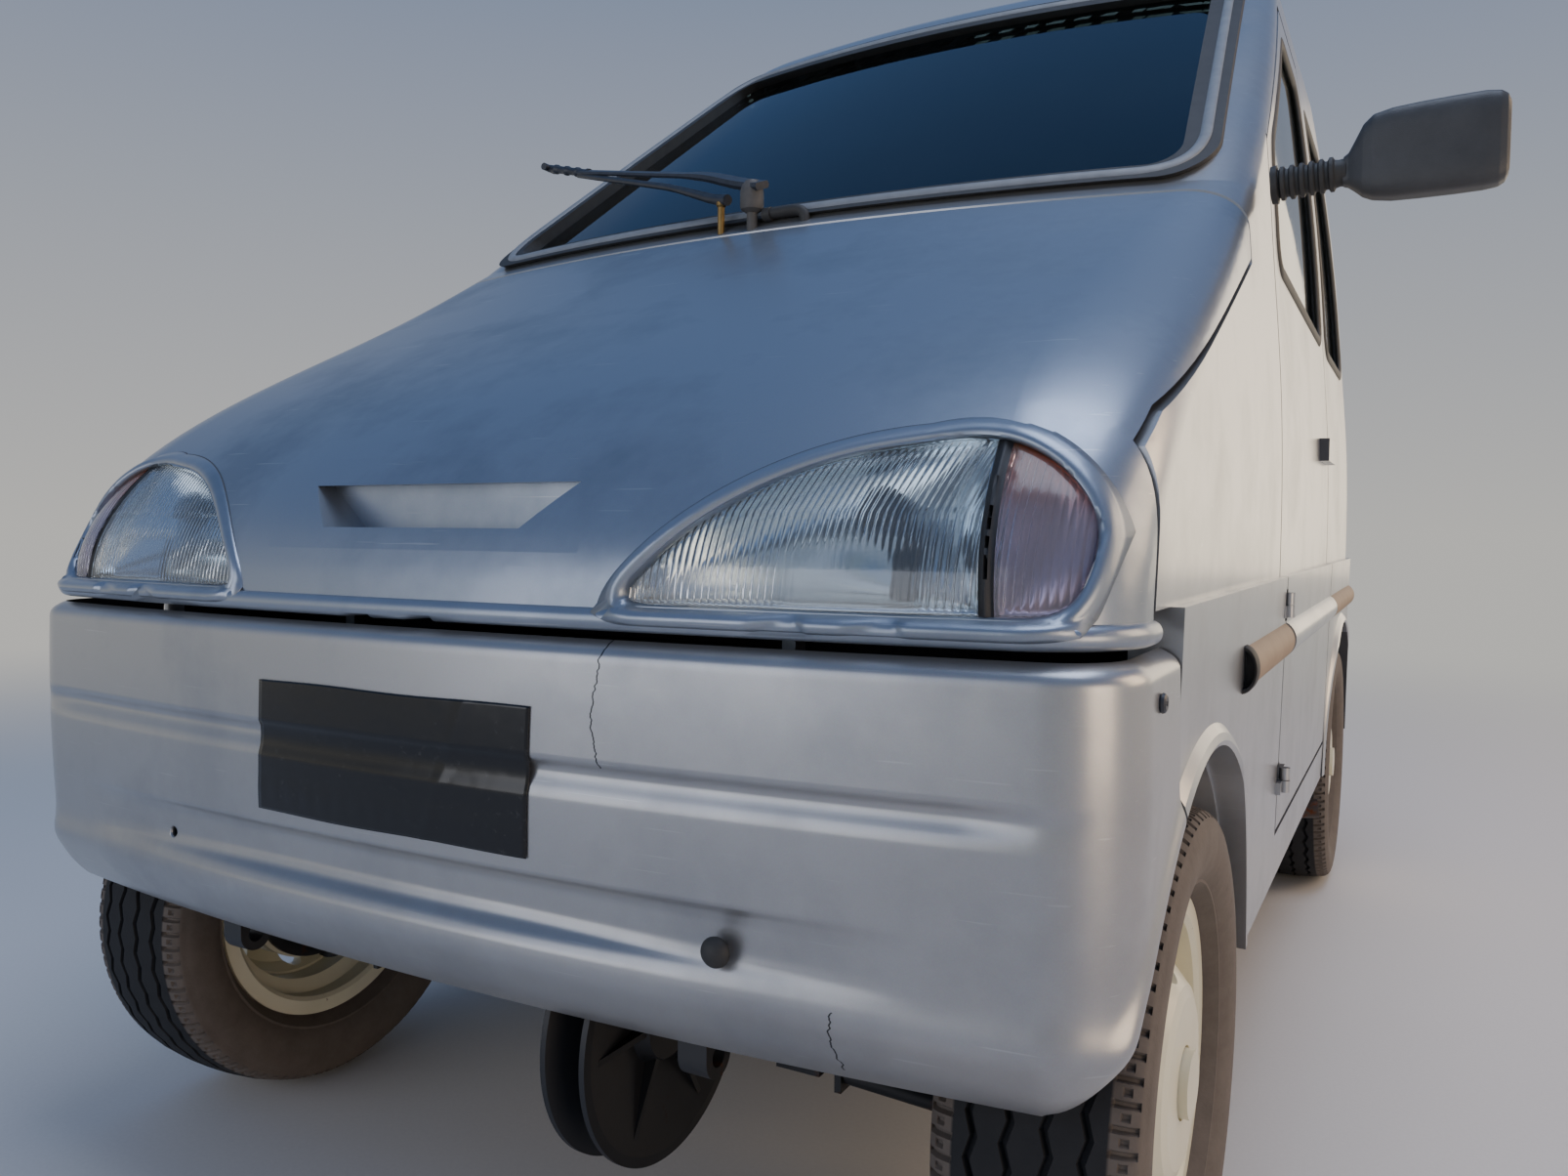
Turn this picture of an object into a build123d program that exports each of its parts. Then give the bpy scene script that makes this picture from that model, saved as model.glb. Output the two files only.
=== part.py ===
from build123d import *
from collections import namedtuple
from math import asin, cos, degrees, radians, sin
import os

# Two-seat microcar with a plastic body on a tube chassis. Millimetres, +Z up.
# The origin is on the ground below the middle of the front axle, the nose points to -Y,
# and +X is the car's left.

os.makedirs("parts", exist_ok=True)

# Driving dimensions
WHEELBASE = 1458.0
HALF_TRACK = 476.0
HALF_WIDTH = 550.0
TYRE_R = 216.0
TYRE_HALF = 72.0
HUB_Z = TYRE_R
ARCH_R = 262.0
GAP = 6.0                    # shut gap round doors, hood and tailgate
RUNNING = 0.05               # radial play of a pin in its bore
SEAT = 0.3                   # gap between pieces of two solids that rest on each other
REACH = 900.0                # longer than any cut has to go

# Wall thicknesses
WALL = 36.0                  # doors, pillars and side walls
HOOD_SKIN = 12.0
ROOF_SKIN = 24.0
GLASS = 5.0
GLASS_INSET = 8.0            # glass lies this far below the outer face

# Heights on the body
SILL_Z = 240.0
LEDGE_Z = 592.0              # ledge where the body side steps in
HOOD_FOOT_Z = 573.0          # lower edge of the hood's skin
BELT_Z = 996.0               # foot of the windscreen
CANT_Z = 1460.0              # side edge of the roof
ROOF_SEAM_Z = 1402.0
PILLAR_SEAM_Z = 1092.0

# Plan outlines of the body from the ground up: the nose is the front at the centre plane,
# its bow is how far the corners fall back, and slant is the length of the nose's
# horizontal inset for each millimetre of wall.
Level = namedtuple("Level", "height half_width nose nose_bow nose_radius slant tail tail_bow tail_radius")
TUB = [
    Level(SILL_Z, HALF_WIDTH - 8, -270, 38, 70, 1.0, 1846, 40, 170),
    Level(LEDGE_Z, HALF_WIDTH, -286, 38, 70, 1.0, 1866, 45, 190),
]
NOSE = [
    Level(LEDGE_Z, HALF_WIDTH - 9, -288, 36, 74, 1.05, 1862, 45, 190),
    Level(655.0, HALF_WIDTH - 9, -262, 31, 86, 1.2, 1862, 45, 190),
    Level(725.0, HALF_WIDTH - 10, -192, 30, 100, 1.6, 1861, 45, 190),
    Level(860.0, HALF_WIDTH - 17, 34, 48, 108, 1.9, 1852, 45, 185),
    Level(BELT_Z, HALF_WIDTH - 28, 264, 68, 76, 1.8, 1837, 45, 180),
]
CHIN = [
    Level(HOOD_FOOT_Z, HALF_WIDTH - 9, -291, 36.5, 72, 1.0, 1862, 45, 190),
    NOSE[0],
]
GLASSHOUSE = [
    NOSE[-1],
    Level(1240.0, 497, 592, 66, 64, 1.7, 1790, 42, 160),
    Level(CANT_Z, 462, 889, 66, 60, 1.7, 1722, 40, 140),
]
ROOF = [
    GLASSHOUSE[-1],
    Level(1502.0, 428, 954, 52, 84, 1.7, 1682, 36, 130),
    Level(1526.0, 330, 1070, 36, 110, 1.7, 1590, 30, 130),
]

# Doors, side view (y, z)
DOOR_FRONT_Y = 512.0
DOOR_REAR_Y = 1172.0
DOOR_BOTTOM_Z = 300.0
DOOR_TOP_Z = ROOF_SEAM_Z - GAP
PILLAR_SLOPE = 0.7425        # rise of the windscreen pillar for each millimetre back
PILLAR_FOOT_Z = 1086.0       # where the door's front edge turns into the pillar's slope
WINDOW_SILL_Z = 942.0
WINDOW_TOP_Z = 1350.0
DOOR_FRAME = 46.0
HINGE_X = HALF_WIDTH + 2
HINGE_PIN_R = 3.0
HINGE_KNUCKLE_R = 6.0
HINGE_KNUCKLE_H = 14.0
HINGE_HEIGHTS = (360.0, 560.0)

# Hood, side view of the shut line (y, z)
HOOD_HINGE_Y = -250.0
HOOD_HINGE_Z = 450.0
HOOD_ARM_X = 250.0
HOOD_ARM_T = 12.0
HOOD_PIN_R = 5.0
HOOD_BAR_R = 8.0
HOOD_BAR_Z = 579.0
SHUT_LINE = [(-178, 595), (-162, 700), (-122, 726), (300, 908), (330, 962)]
SCUTTLE_NOSE = 238.0         # rear edge of the hood at the centre plane
SCUTTLE_BOW = 68.0

# Headlamps, front view (x, z)
LAMP_INNER_X = 199.0
LAMP_OUTER_X = 521.0
LAMP_FOOT_Z = 589.0
LAMP_HEAD_Z = 700.0
DIVIDER_X = (462.0, 449.0)     # at the foot and at the head of the lamp
DIVIDER_Z = (560.0, 720.0)

# Tailgate, rear view
TAILGATE_BOTTOM_Z = 620.0
TAILGATE_TOP_Z = ROOF_SEAM_Z - 2
TAILGATE_HALF_FOOT = 400.0
TAILGATE_HALF_HEAD = 352.0
TAILGATE_PIVOT = (1742.0, 1403.0)

# Windscreen seal, door handle, lamps
SCREEN_LAP = 14.0            # the glass reaches this far behind the seal
SEAL_WIDTH = 38.0
SEAL_PROUD = 6.0
HANDLE_Z = 768.0
LAMP_INSET = 2.0
LAMP_BACK_Y = -180.0

# Rub strips, tail lamps, vent and bumper
STRIP_LOW_Z = 500.0
STRIP_HIGH_Z = 540.0
STRIP_T = 12.0
TAIL_LAMP_X = (426.0, 500.0)
TAIL_LAMP_Z = (660.0, 900.0)
VENT_OUTLINE = [(-105, 641), (105, 641), (143, 676), (-143, 676)]
VENT_FLOOR_Y = -226.0
BUMPER_END_Y = -126.0
BUMPER_NOSE_Y = -300.0
BUMPER_SKIN = 10.0
BUMPER_CORNER_R = 60.0
BUMPER_BOW_R = 4000.0
BUMPER_PROUD = 3.0           # the bulge stands this far out of the path of the sweep
BUMPER_FLANGE = 28.0
BUMPER_TOP_Z = 565.0
BUMPER_FOOT_Z = 288.0
GROOVE_Z = 471.0
GROOVE_R = 12.0
GROOVE_HALF = 490.0
GROOVE_DEPTH = 5.0
BAND_HALF = 400.0
BAND_DEPTH = 10.0
BAND_SETBACK = 4.0           # the belly of the bumper falls back this far down to the band
BAND_BACK = 9.0              # wall behind the recessed band
BAND_SIDE = [(0, 358), (0, 384), (BAND_DEPTH, 399), (60, 399), (60, 348), (BAND_DEPTH + 6, 348)]
FLARE = [(528, 262), (553, 262), (555, 266), (553, 272), (544, 284), (528, 284)]   # x, radius round the wheel
FLARE_PLAN = [(-290, 500), (-290, 544), (-120, 556), (120, 556), (290, 544), (290, 500)]   # y from the wheel, x
FLARE_FOOT_Z = 345.0
BUMPER_HOLE_X = 290.0
BUMPER_HOLE_Z = 364.0
BUMPER_HOLE_R = 5.0
PLATE_HOLE_X = 90.0
PLATE_HOLE_Z = 450.0
PLATE_HOLE_R = 3.0
REAR_BAND = [
    Level(322.0, HALF_WIDTH - 6, -270, 38, 70, 1.0, 1868, 42, 176),
    Level(450.0, HALF_WIDTH - 1, -270, 38, 70, 1.0, 1884, 44, 186),
    Level(562.0, HALF_WIDTH - 5, -270, 38, 70, 1.0, 1876, 44, 190),
]
STRIP_FRONT_Y = 190.0
STRIP_REAR_Y = 1640.0
HINGE_Y = DOOR_FRONT_Y - GAP / 2

# Wheels
RIM_BEAD_R = 127.0
RIM_FLANGE_R = 142.0
DRUM_R = 84.0
STUB_R = 12.0
VENT_HOLES = 8
VENT_HOLE_R = 13.0
VENT_CIRCLE_R = 90.0
KINGPIN_X = 430.0
KINGPIN_R = 10.0

# Chassis
RAIL_X = 250.0
RAIL_SIZE = 40.0
RAIL_Z = 218.0
RAIL_FRONT_Y = -100.0
HORN_FRONT_Y = -258.0
HORN_SPAN = (302.0, 338.0)
RAIL_REAR_Y = 1745.0
FLOOR_Z = RAIL_Z + RAIL_SIZE / 2
FLOOR_T = 10.0
BULKHEAD_Y = 276.0
RAIL_SPAN = (RAIL_Z - RAIL_SIZE / 2, RAIL_Z + RAIL_SIZE / 2)
CROSS_MEMBER_Y = (30.0, 300.0, 1150.0, RAIL_REAR_Y - RAIL_SIZE / 2)
CARRIER_Y = -262.0
CARRIER_SPAN = (505.0, 535.0)
CARRIER_HALF = 238.0         # stays between the hood's arms
ARM_PIVOT_Y = 1195.0
ARM_PIVOT_Z = 172.0
ARM_TUBE_R = 13.0
TOWER_Z = 470.0
LUG_X = (RAIL_X - 12, RAIL_X + 12)
LUG_Y = HORN_FRONT_Y + 18
LUG_Z = HORN_SPAN[0] - 32
LUG_R = 16.0
LUG_BORE_R = 8.0

# Cabin
FLOOR_HALF = HALF_WIDTH - 8 - WALL - SEAT
REAR_ARCH_FRONT_Y = WHEELBASE - ARCH_R - 4
BULKHEAD_TOP_Z = 925.0
BULKHEAD_HALF = 485.0
DASH_HALF = 462.0
DASH_SIDE = [(288.3, 705), (288.3, 900), (352, 958), (430, 980), (540, 930), (562, 860), (545, 730), (430, 700)]
STEER_X = 245.0
STEER_Y = 700.0
STEER_Z = 905.0
COLUMN_TILT = 32.0
COLUMN_R = 24.0
SHAFT_R = 9.0
SHAFT_LENGTH = 70.0
WHEEL_RIM_R = 165.0
SEAT_X = (34.0, 456.0)
SEAT_SIDE = [(770, 410), (765, 530), (1120, 500), (1262, 1130), (1345, 1130), (1235, 400)]
SEAT_BASE_Y = (800.0, 1150.0)

# Engine and drive
ENGINE_X = (-215.0, 62.0)
ENGINE_Y = (-150.0, 130.0)
ENGINE_Z = (RAIL_Z + RAIL_SIZE / 2 + SEAT, 520.0)
PULLEY_CENTRE = (-150.0, 240.0)      # (y, z)
PULLEY_R = 112.0
PULLEY_X = (117.0, 159.0)

# Running gear
WISHBONE_Y = 60.0
EYE_Z = 67.0
PIVOT_DROP = 30.0            # inner pivots of the lower arms below the hub
STUB_END = 56.0              # outer end of the stub axle from the wheel's centre plane
ARM_X = 335.0
SPRING_TURNS = 8
SPRING_PITCH = 21.0
BORE_R = RIM_BEAD_R + SEAT
SILENCER_X = 390.0
SILENCER_Y = (760.0, 1030.0)
SILENCER_Z = 184.0

# Wheel sections (distance out from the wheel's centre plane, radius)
RIM_BARREL = [
    (-50, RIM_FLANGE_R), (-46, RIM_FLANGE_R), (-46, RIM_BEAD_R), (-24, RIM_BEAD_R), (-16, 112),
    (14, 112), (22, RIM_BEAD_R), (46, RIM_BEAD_R), (46, RIM_FLANGE_R), (50, RIM_FLANGE_R),
    (50, 127), (46, 123), (25, 123), (17, 108), (-19, 108), (-27, 123), (-46, 123), (-50, 127),
]
RIM_DISC = [
    (8, 110), (15, 110), (31, 101), (57, 73), (60, 64), (60, 28), (56, 28), (56, 61), (52, 70), (27, 97), (8, 105),
]
DRUM = [
    (-15, DRUM_R), (24, DRUM_R), (24, 50), (56.5, 50), (56.5, 26), (67, 26), (67, 0), (60, 0),
    (60, STUB_R + RUNNING), (18, STUB_R + RUNNING), (18, DRUM_R - 6), (-15, DRUM_R - 6),
]

# Mirror and wiper
MIRROR_X = 672.0
MIRROR_Y = 400.0
MIRROR_Z = 1014.0
WIPER_SPINDLE = (-9.0, 254.0)
WIPER_BASE_R = 6.0
WIPER_CAP_R = 14.0
WIPER_FOOT_Z = 978.0
WIPER_CAP_Z = (1011.0, 1045.0)
WIPER_PIN = (-51.0, 254.0)
WIPER_PIN_R = 5.0
WIPER_PIN_Z = 1034.0
WIPER_ARM_R = 4.5
WIPER_LINK = (-366.0, 380.0, 1138.0)     # where both arms meet
WIPER_TIP = (-424.0, 386.0, 1153.0)


def outline(level, skin=0.0, drop=0.0):
    """Plan outline of the body at one level, set in by a wall thickness."""
    half = level.half_width - skin
    nose = level.nose + skin * level.slant
    tail = level.tail - skin
    with BuildSketch(Plane.XY.offset(level.height - drop)) as flat:
        with BuildLine():
            ThreePointArc((-half, nose + level.nose_bow), (0, nose), (half, nose + level.nose_bow))
            Line((half, nose + level.nose_bow), (half, tail - level.tail_bow))
            ThreePointArc((half, tail - level.tail_bow), (0, tail), (-half, tail - level.tail_bow))
            Line((-half, tail - level.tail_bow), (-half, nose + level.nose_bow))
        make_face()
        fillet(flat.vertices().sort_by(Axis.Y)[:2], level.nose_radius - skin * 0.6)
        fillet(flat.vertices().sort_by(Axis.Y)[-2:], level.tail_radius - skin)
    return flat.sketch


def stack(levels, skin=0.0, roof_drop=0.0):
    """Solid between the outlines of several levels."""
    with BuildPart() as form:
        sections = [outline(levels[0], skin)]
        sections += [outline(level, skin, roof_drop) for level in levels[1:]]
        loft(sections)
    return form.part


def body_form(skin=0.0):
    """The whole closed body, set in by a wall thickness."""
    with BuildPart() as form:
        add(stack(TUB, skin))
        add(stack(NOSE, skin))
        add(stack(GLASSHOUSE, skin))
        add(stack(ROOF, skin, min(skin, ROOF_SKIN)))
    return form.part


def side_prism(points, x_from, x_to, radius=0.0):
    """Prism across the car from an outline in the side view (y, z)."""
    with BuildPart() as prism:
        with BuildSketch(Plane.YZ.offset(x_from)) as flat:
            with BuildLine():
                Polyline(*points, close=True)
            make_face()
            if radius:
                fillet(flat.vertices(), radius)
        extrude(amount=x_to - x_from)
    return prism.part


def end_prism(points, y_from, y_to, radius=0.0):
    """Prism along the car from an outline in the end view (x, z)."""
    with BuildPart() as prism:
        with BuildSketch(Plane.XZ.offset(-y_from)) as flat:
            with BuildLine():
                Polyline(*points, close=True)
            make_face()
            if radius:
                fillet(flat.vertices(), radius)
        extrude(amount=y_from - y_to)
    return prism.part


def block(x_span, y_span, z_span):
    """Plain box between three pairs of limits."""
    sizes = [span[1] - span[0] for span in (x_span, y_span, z_span)]
    middle = [(span[0] + span[1]) / 2 for span in (x_span, y_span, z_span)]
    with BuildPart() as solid:
        with Locations(tuple(middle)):
            Box(*sizes)
    return solid.part


def rod(start, end, radius):
    """Round bar between two points."""
    axis = Vector(*end) - Vector(*start)
    plane = Plane(origin=start, z_dir=axis)
    with BuildPart() as bar:
        with BuildSketch(plane):
            Circle(radius)
        extrude(amount=axis.length)
    return bar.part


def mirrored(part):
    """The same piece on the other side of the car."""
    return part.mirror(Plane.YZ)


def save(part, label):
    """Name a finished piece and write it out."""
    part.label = label
    export_step(part, f"parts/{label}.step")


def plan_region(nose, bow, y_rear, radius=0.0):
    """Prism through all heights from a bowed front edge to a straight rear edge."""
    half = HALF_WIDTH + 60
    fall = bow * (half / HALF_WIDTH) ** 2
    with BuildPart() as prism:
        with BuildSketch():
            with BuildLine():
                ThreePointArc((-half, nose + fall), (0, nose), (half, nose + fall))
                Polyline((half, nose + fall), (half, y_rear), (-half, y_rear), (-half, nose + fall))
            make_face()
        extrude(amount=REACH * 2)
    return prism.part


def wheel_cylinder(y, radius, x_from, x_to):
    """Cylinder round a wheel's axle line."""
    with BuildPart() as drum:
        with BuildSketch(Plane.YZ.offset(x_from)):
            with Locations((y, HUB_Z)):
                Circle(radius)
        extrude(amount=x_to - x_from)
    return drum.part


def wheel_liner(y, x_from, z_from, y_from):
    """Arched liner over a left wheel, behind the skin of the fender."""
    x_to = HALF_WIDTH - WALL + 12
    with BuildPart() as liner:
        add(wheel_cylinder(y, ARCH_R + 3, x_from, x_to))
        add(wheel_cylinder(y, ARCH_R - 5, x_from - 1, x_to + 1), mode=Mode.SUBTRACT)
        add(block((0, REACH), (y - REACH, y + REACH), (-REACH, z_from)), mode=Mode.SUBTRACT)
        add(block((0, REACH), (y - REACH, y_from), (-REACH, REACH)), mode=Mode.SUBTRACT)
    return liner.part


def slanted_pillar(offset):
    """Door's front upper edge: y at a height, set back along the door by an offset."""
    return [
        (DOOR_FRONT_Y + offset, PILLAR_FOOT_Z),
        (DOOR_FRONT_Y + offset + (DOOR_TOP_Z - PILLAR_FOOT_Z) / PILLAR_SLOPE, DOOR_TOP_Z),
    ]


def door_outline(grow):
    """Side view of a door, grown on every side by a gap."""
    foot, head = slanted_pillar(-grow * 1.3)
    return [
        (DOOR_FRONT_Y - grow, DOOR_BOTTOM_Z - grow),
        (DOOR_REAR_Y + grow, DOOR_BOTTOM_Z - grow),
        (DOOR_REAR_Y + grow, DOOR_TOP_Z + grow),
        (head[0], DOOR_TOP_Z + grow),
        (DOOR_FRONT_Y - grow, foot[1]),
    ]


def tailgate_outline(grow):
    """Rear view of the tailgate, grown on every side by a gap."""
    foot = TAILGATE_HALF_FOOT + grow
    head = TAILGATE_HALF_HEAD + grow
    low = TAILGATE_BOTTOM_Z - grow
    high = TAILGATE_TOP_Z + grow
    return [(-foot, low), (foot, low), (head, high), (-head, high)]


def door_window(grow):
    """Side view of a door's window, grown by a margin."""
    front = DOOR_FRONT_Y + DOOR_FRAME - grow
    slope_foot = PILLAR_FOOT_Z + 6
    head = front + (WINDOW_TOP_Z - slope_foot) / PILLAR_SLOPE
    return [
        (front, WINDOW_SILL_Z + 10 - grow),
        (DOOR_REAR_Y - DOOR_FRAME + grow, WINDOW_SILL_Z - grow),
        (DOOR_REAR_Y - DOOR_FRAME + grow, WINDOW_TOP_Z + grow),
        (head, WINDOW_TOP_Z + grow),
        (front, slope_foot),
    ]


def quarter_window(grow):
    """Side view of a rear quarter window, grown by a margin."""
    front = DOOR_REAR_Y + GAP + DOOR_FRAME - grow
    return [
        (front, WINDOW_SILL_Z - grow),
        (1590 + grow, WINDOW_SILL_Z - grow),
        (1530 + grow, WINDOW_TOP_Z + grow),
        (front, WINDOW_TOP_Z + grow),
    ]


def tailgate_window(grow):
    """Rear view of the tailgate's window, grown by a margin."""
    foot, head = 322 + grow, 290 + grow
    low, high = WINDOW_SILL_Z + 20 - grow, WINDOW_TOP_Z - 6 + grow
    return [(-foot, low), (foot, low), (head, high), (-head, high)]


def screen_outline(grow):
    """Front view of the windscreen's clear part, grown by a margin."""
    foot, head = 453 + grow, 392 + grow
    low, high = 1022 - grow * 0.55, 1424 + grow * 0.9
    return [(-foot, low), (foot, low), (head, high), (-head, high)]


def tailgate_region(grow):
    return end_prism(tailgate_outline(grow), 1600, 2000, 55 + grow)


def wrap_path(half, nose, radius, bow_radius, y_end):
    """Plan path round the nose: side, corner, bowed front, corner, side."""
    turn = asin((half - radius) / (bow_radius - radius))
    y_corner = nose + bow_radius * (1 - cos(turn)) + radius * cos(turn)
    with BuildLine() as path:
        left = Line((half, y_end), (half, y_corner))
        left_corner = JernArc(left @ 1, left % 1, radius, degrees(turn) - 90)
        bow = JernArc(left_corner @ 1, left_corner % 1, bow_radius, -2 * degrees(turn))
        right_corner = JernArc(bow @ 1, bow % 1, radius, degrees(turn) - 90)
        Line(right_corner @ 1, (-half, y_end))
    return path.wire()


# Whole body forms, outside and inside
outer = body_form()
inner = body_form(WALL)
with BuildPart() as wall_block:
    add(outer)
    add(inner, mode=Mode.SUBTRACT)
wall = wall_block.part

hood_side = [(-400, HOOD_FOOT_Z), (SHUT_LINE[0][0], HOOD_FOOT_Z)] + SHUT_LINE
hood_side += [(SHUT_LINE[-1][0] + 40, 1200), (-400, 1200)]
fender_cut_side = [(-400, LEDGE_Z - 20), (SHUT_LINE[0][0] + GAP, LEDGE_Z - 20)]
fender_cut_side += [(y + GAP, z - GAP * 0.6) for y, z in SHUT_LINE]
fender_cut_side += [(SHUT_LINE[-1][0] + 46, 1200), (-400, 1200)]
hood_side_prism = side_prism(hood_side, -REACH, REACH)
fender_cut_prism = side_prism(fender_cut_side, -REACH, REACH)
screen_opening = end_prism(screen_outline(SCREEN_LAP), -100, 1150, 40)

with BuildPart() as hood_space:
    add(fender_cut_prism)
    add(plan_region(SCUTTLE_NOSE + GAP, SCUTTLE_BOW, 3000), mode=Mode.SUBTRACT)



def bumper_section(inset):
    """Section of the front bumper's left side, looking along the car, inside out by an inset."""
    face = HALF_WIDTH - inset
    back = HALF_WIDTH - BUMPER_FLANGE - inset * 2
    with BuildSketch(Plane.XZ.offset(-BUMPER_END_Y)) as section:
        with BuildLine():
            top = Line((back, BUMPER_TOP_Z - inset), (face - 18, BUMPER_TOP_Z - inset))
            roll = ThreePointArc(top @ 1, (face - 7, BUMPER_TOP_Z - inset - 4), (face - 3, BUMPER_TOP_Z - inset - 15))
            belly = ThreePointArc(roll @ 1, (face, 475), (face - 4, 345))
            lip = ThreePointArc(belly @ 1, (face - 12, BUMPER_FOOT_Z + 22 + inset / 2), (face - 22, BUMPER_FOOT_Z + inset))
            foot = Line(lip @ 1, (back, BUMPER_FOOT_Z + inset))
            Line(foot @ 1, top @ 0)
        make_face()
    return section.sketch


def bow_ring(half, depth, setback=0.0, profile=()):
    """Ring on a flatter arc than the bumper's bow, this deep at the middle and fading out at the ends."""
    face = BUMPER_NOSE_Y - BUMPER_PROUD + setback
    fall = half ** 2 / (2 * BUMPER_BOW_R) - depth
    arc = half ** 2 / (2 * fall)
    centre_y = face + depth + arc
    with BuildPart() as ring:
        with BuildSketch(Plane.YZ):
            if profile:
                with BuildLine():
                    Polyline(*[(face + depth - out, z) for out, z in profile], close=True)
                make_face()
            else:
                with Locations((face + depth - GROOVE_R, GROOVE_Z)):
                    Circle(GROOVE_R)
        revolve(axis=Axis((0, centre_y, 0), (0, 0, 1)))
        add(block((-half, half), (-REACH, 0), (0, REACH)), mode=Mode.INTERSECT)
    return ring.part


def arch_flare(y):
    """Turned-out edge of the body round a left wheel's arch."""
    with BuildPart() as flare:
        with BuildSketch(Plane.XY):
            with BuildLine():
                Polyline(*FLARE, close=True)
            make_face()
        revolve(axis=Axis.X)
        with BuildSketch(Plane.XY.offset(-REACH)):
            with BuildLine():
                Polyline(*[(x, from_wheel) for from_wheel, x in FLARE_PLAN], close=True)
            make_face()
        extrude(amount=2 * REACH, mode=Mode.INTERSECT)
    return flare.part.moved(Location((0, y, HUB_Z)))


def vent_backing(block_form):
    """Thick stretch of the hood behind the vent recess."""
    with BuildPart() as backing:
        add(block_form)
        add(block((-165, 165), (-REACH, VENT_FLOOR_Y + 10), (624, 700)), mode=Mode.INTERSECT)
    return backing.part


def hood_bar():
    """Rounded bar along the hood's lower edge."""
    foot = CHIN[0]
    bow_radius = (foot.half_width ** 2 + foot.nose_bow ** 2) / (2 * foot.nose_bow)
    path = wrap_path(foot.half_width, foot.nose, foot.nose_radius, bow_radius, SHUT_LINE[0][0])
    with BuildPart() as bar:
        with BuildSketch(Plane.XZ.offset(-SHUT_LINE[0][0])):
            with Locations((foot.half_width - 2, HOOD_BAR_Z)):
                Circle(HOOD_BAR_R)
        sweep(path=path)
    return bar.part


def hood_arm():
    """Gooseneck plate from the left hinge, behind the bumper, up to the underside of the hood."""
    pivot = (HOOD_HINGE_Y, HOOD_HINGE_Z)
    with BuildPart() as arm:
        with BuildSketch(Plane.YZ.offset(HOOD_ARM_X - HOOD_ARM_T / 2)):
            with BuildLine():
                Polyline(
                    (pivot[0] + 4, pivot[1] - 12),
                    (-106, 496),
                    (-98, 640),
                    (-84, 778),
                    (-104, 770),
                    (-116, 640),
                    (-122, 512),
                    (pivot[0] - 4, pivot[1] + 12),
                    close=True,
                )
            make_face()
            with Locations(pivot):
                Circle(13)
        extrude(amount=HOOD_ARM_T)
        with BuildSketch(Plane.YZ.offset(HOOD_ARM_X)):
            with Locations(pivot):
                Circle(HOOD_PIN_R)
        extrude(amount=HOOD_ARM_T / 2 + 14)
    return arm.part


def tailgate_hinges(moving):
    """Knuckles above the tailgate: the outer ones on the roof, the inner ones carry the pin."""
    y, z = TAILGATE_PIVOT
    with BuildPart() as hinges:
        for side in (-1, 1):
            middle = side * 190
            start = middle if moving else middle + side * 0.5
            end = middle - side * 24 if moving else middle + side * 24
            add(rod((start, y, z), (end, y, z), HINGE_KNUCKLE_R))
            leaf_z = (z - 20, z - 2) if moving else (z + 2, z + 20)
            add(block(sorted((start, end)), (y - 16, y - 3), leaf_z))
            if moving:
                add(rod((middle, y, z), (middle + side * 24, y, z), HINGE_PIN_R))
            else:
                add(rod((middle, y, z), (middle + side * 30, y, z), HINGE_PIN_R + RUNNING), mode=Mode.SUBTRACT)
    return hinges.part



def door_hinges(moving):
    """Knuckles of the left door's hinges: the lower ones are fixed, the upper ones carry the pin."""
    with BuildPart() as hinges:
        for height in HINGE_HEIGHTS:
            low = height + 0.5 if moving else height - HINGE_KNUCKLE_H
            axis = (HINGE_X, HINGE_Y)
            with BuildSketch(Plane.XY.offset(low)):
                with Locations(axis):
                    Circle(HINGE_KNUCKLE_R)
                with Locations((HINGE_X - 12, HINGE_Y + (11 if moving else -11))):
                    Rectangle(20, 22)
            extrude(amount=HINGE_KNUCKLE_H - 0.5)
            if not moving:
                with BuildSketch(Plane.XY.offset(low)):
                    with Locations(axis):
                        Circle(HINGE_PIN_R + RUNNING)
                extrude(amount=HINGE_KNUCKLE_H, mode=Mode.SUBTRACT)
            else:
                with BuildSketch(Plane.XY.offset(low - HINGE_KNUCKLE_H)):
                    with Locations(axis):
                        Circle(HINGE_PIN_R)
                extrude(amount=HINGE_KNUCKLE_H + 1)
    return hinges.part


def hinge_pockets():
    """Room round the hinge knuckles in the edges of fender and door."""
    with BuildPart() as pockets:
        for height in HINGE_HEIGHTS:
            with BuildSketch(Plane.XY.offset(height - HINGE_KNUCKLE_H - 4)):
                with Locations((HINGE_X, HINGE_Y)):
                    Circle(HINGE_KNUCKLE_R + 4)
                with Locations((HINGE_X - 14, HINGE_Y)):
                    Rectangle(22, 22)
            extrude(amount=2 * HINGE_KNUCKLE_H + 8)
    return pockets.part


def rub_strip(y_from, y_to):
    """Half-round moulding along the left side."""
    x = HALF_WIDTH - 2.2
    with BuildPart() as strip:
        with BuildSketch(Plane.XZ.offset(-y_from)):
            with BuildLine():
                ThreePointArc((x, STRIP_LOW_Z), (x + STRIP_T, (STRIP_LOW_Z + STRIP_HIGH_Z) / 2), (x, STRIP_HIGH_Z))
                Line((x, STRIP_HIGH_Z), (x, STRIP_LOW_Z))
            make_face()
        extrude(amount=y_from - y_to)
    return strip.part


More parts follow.
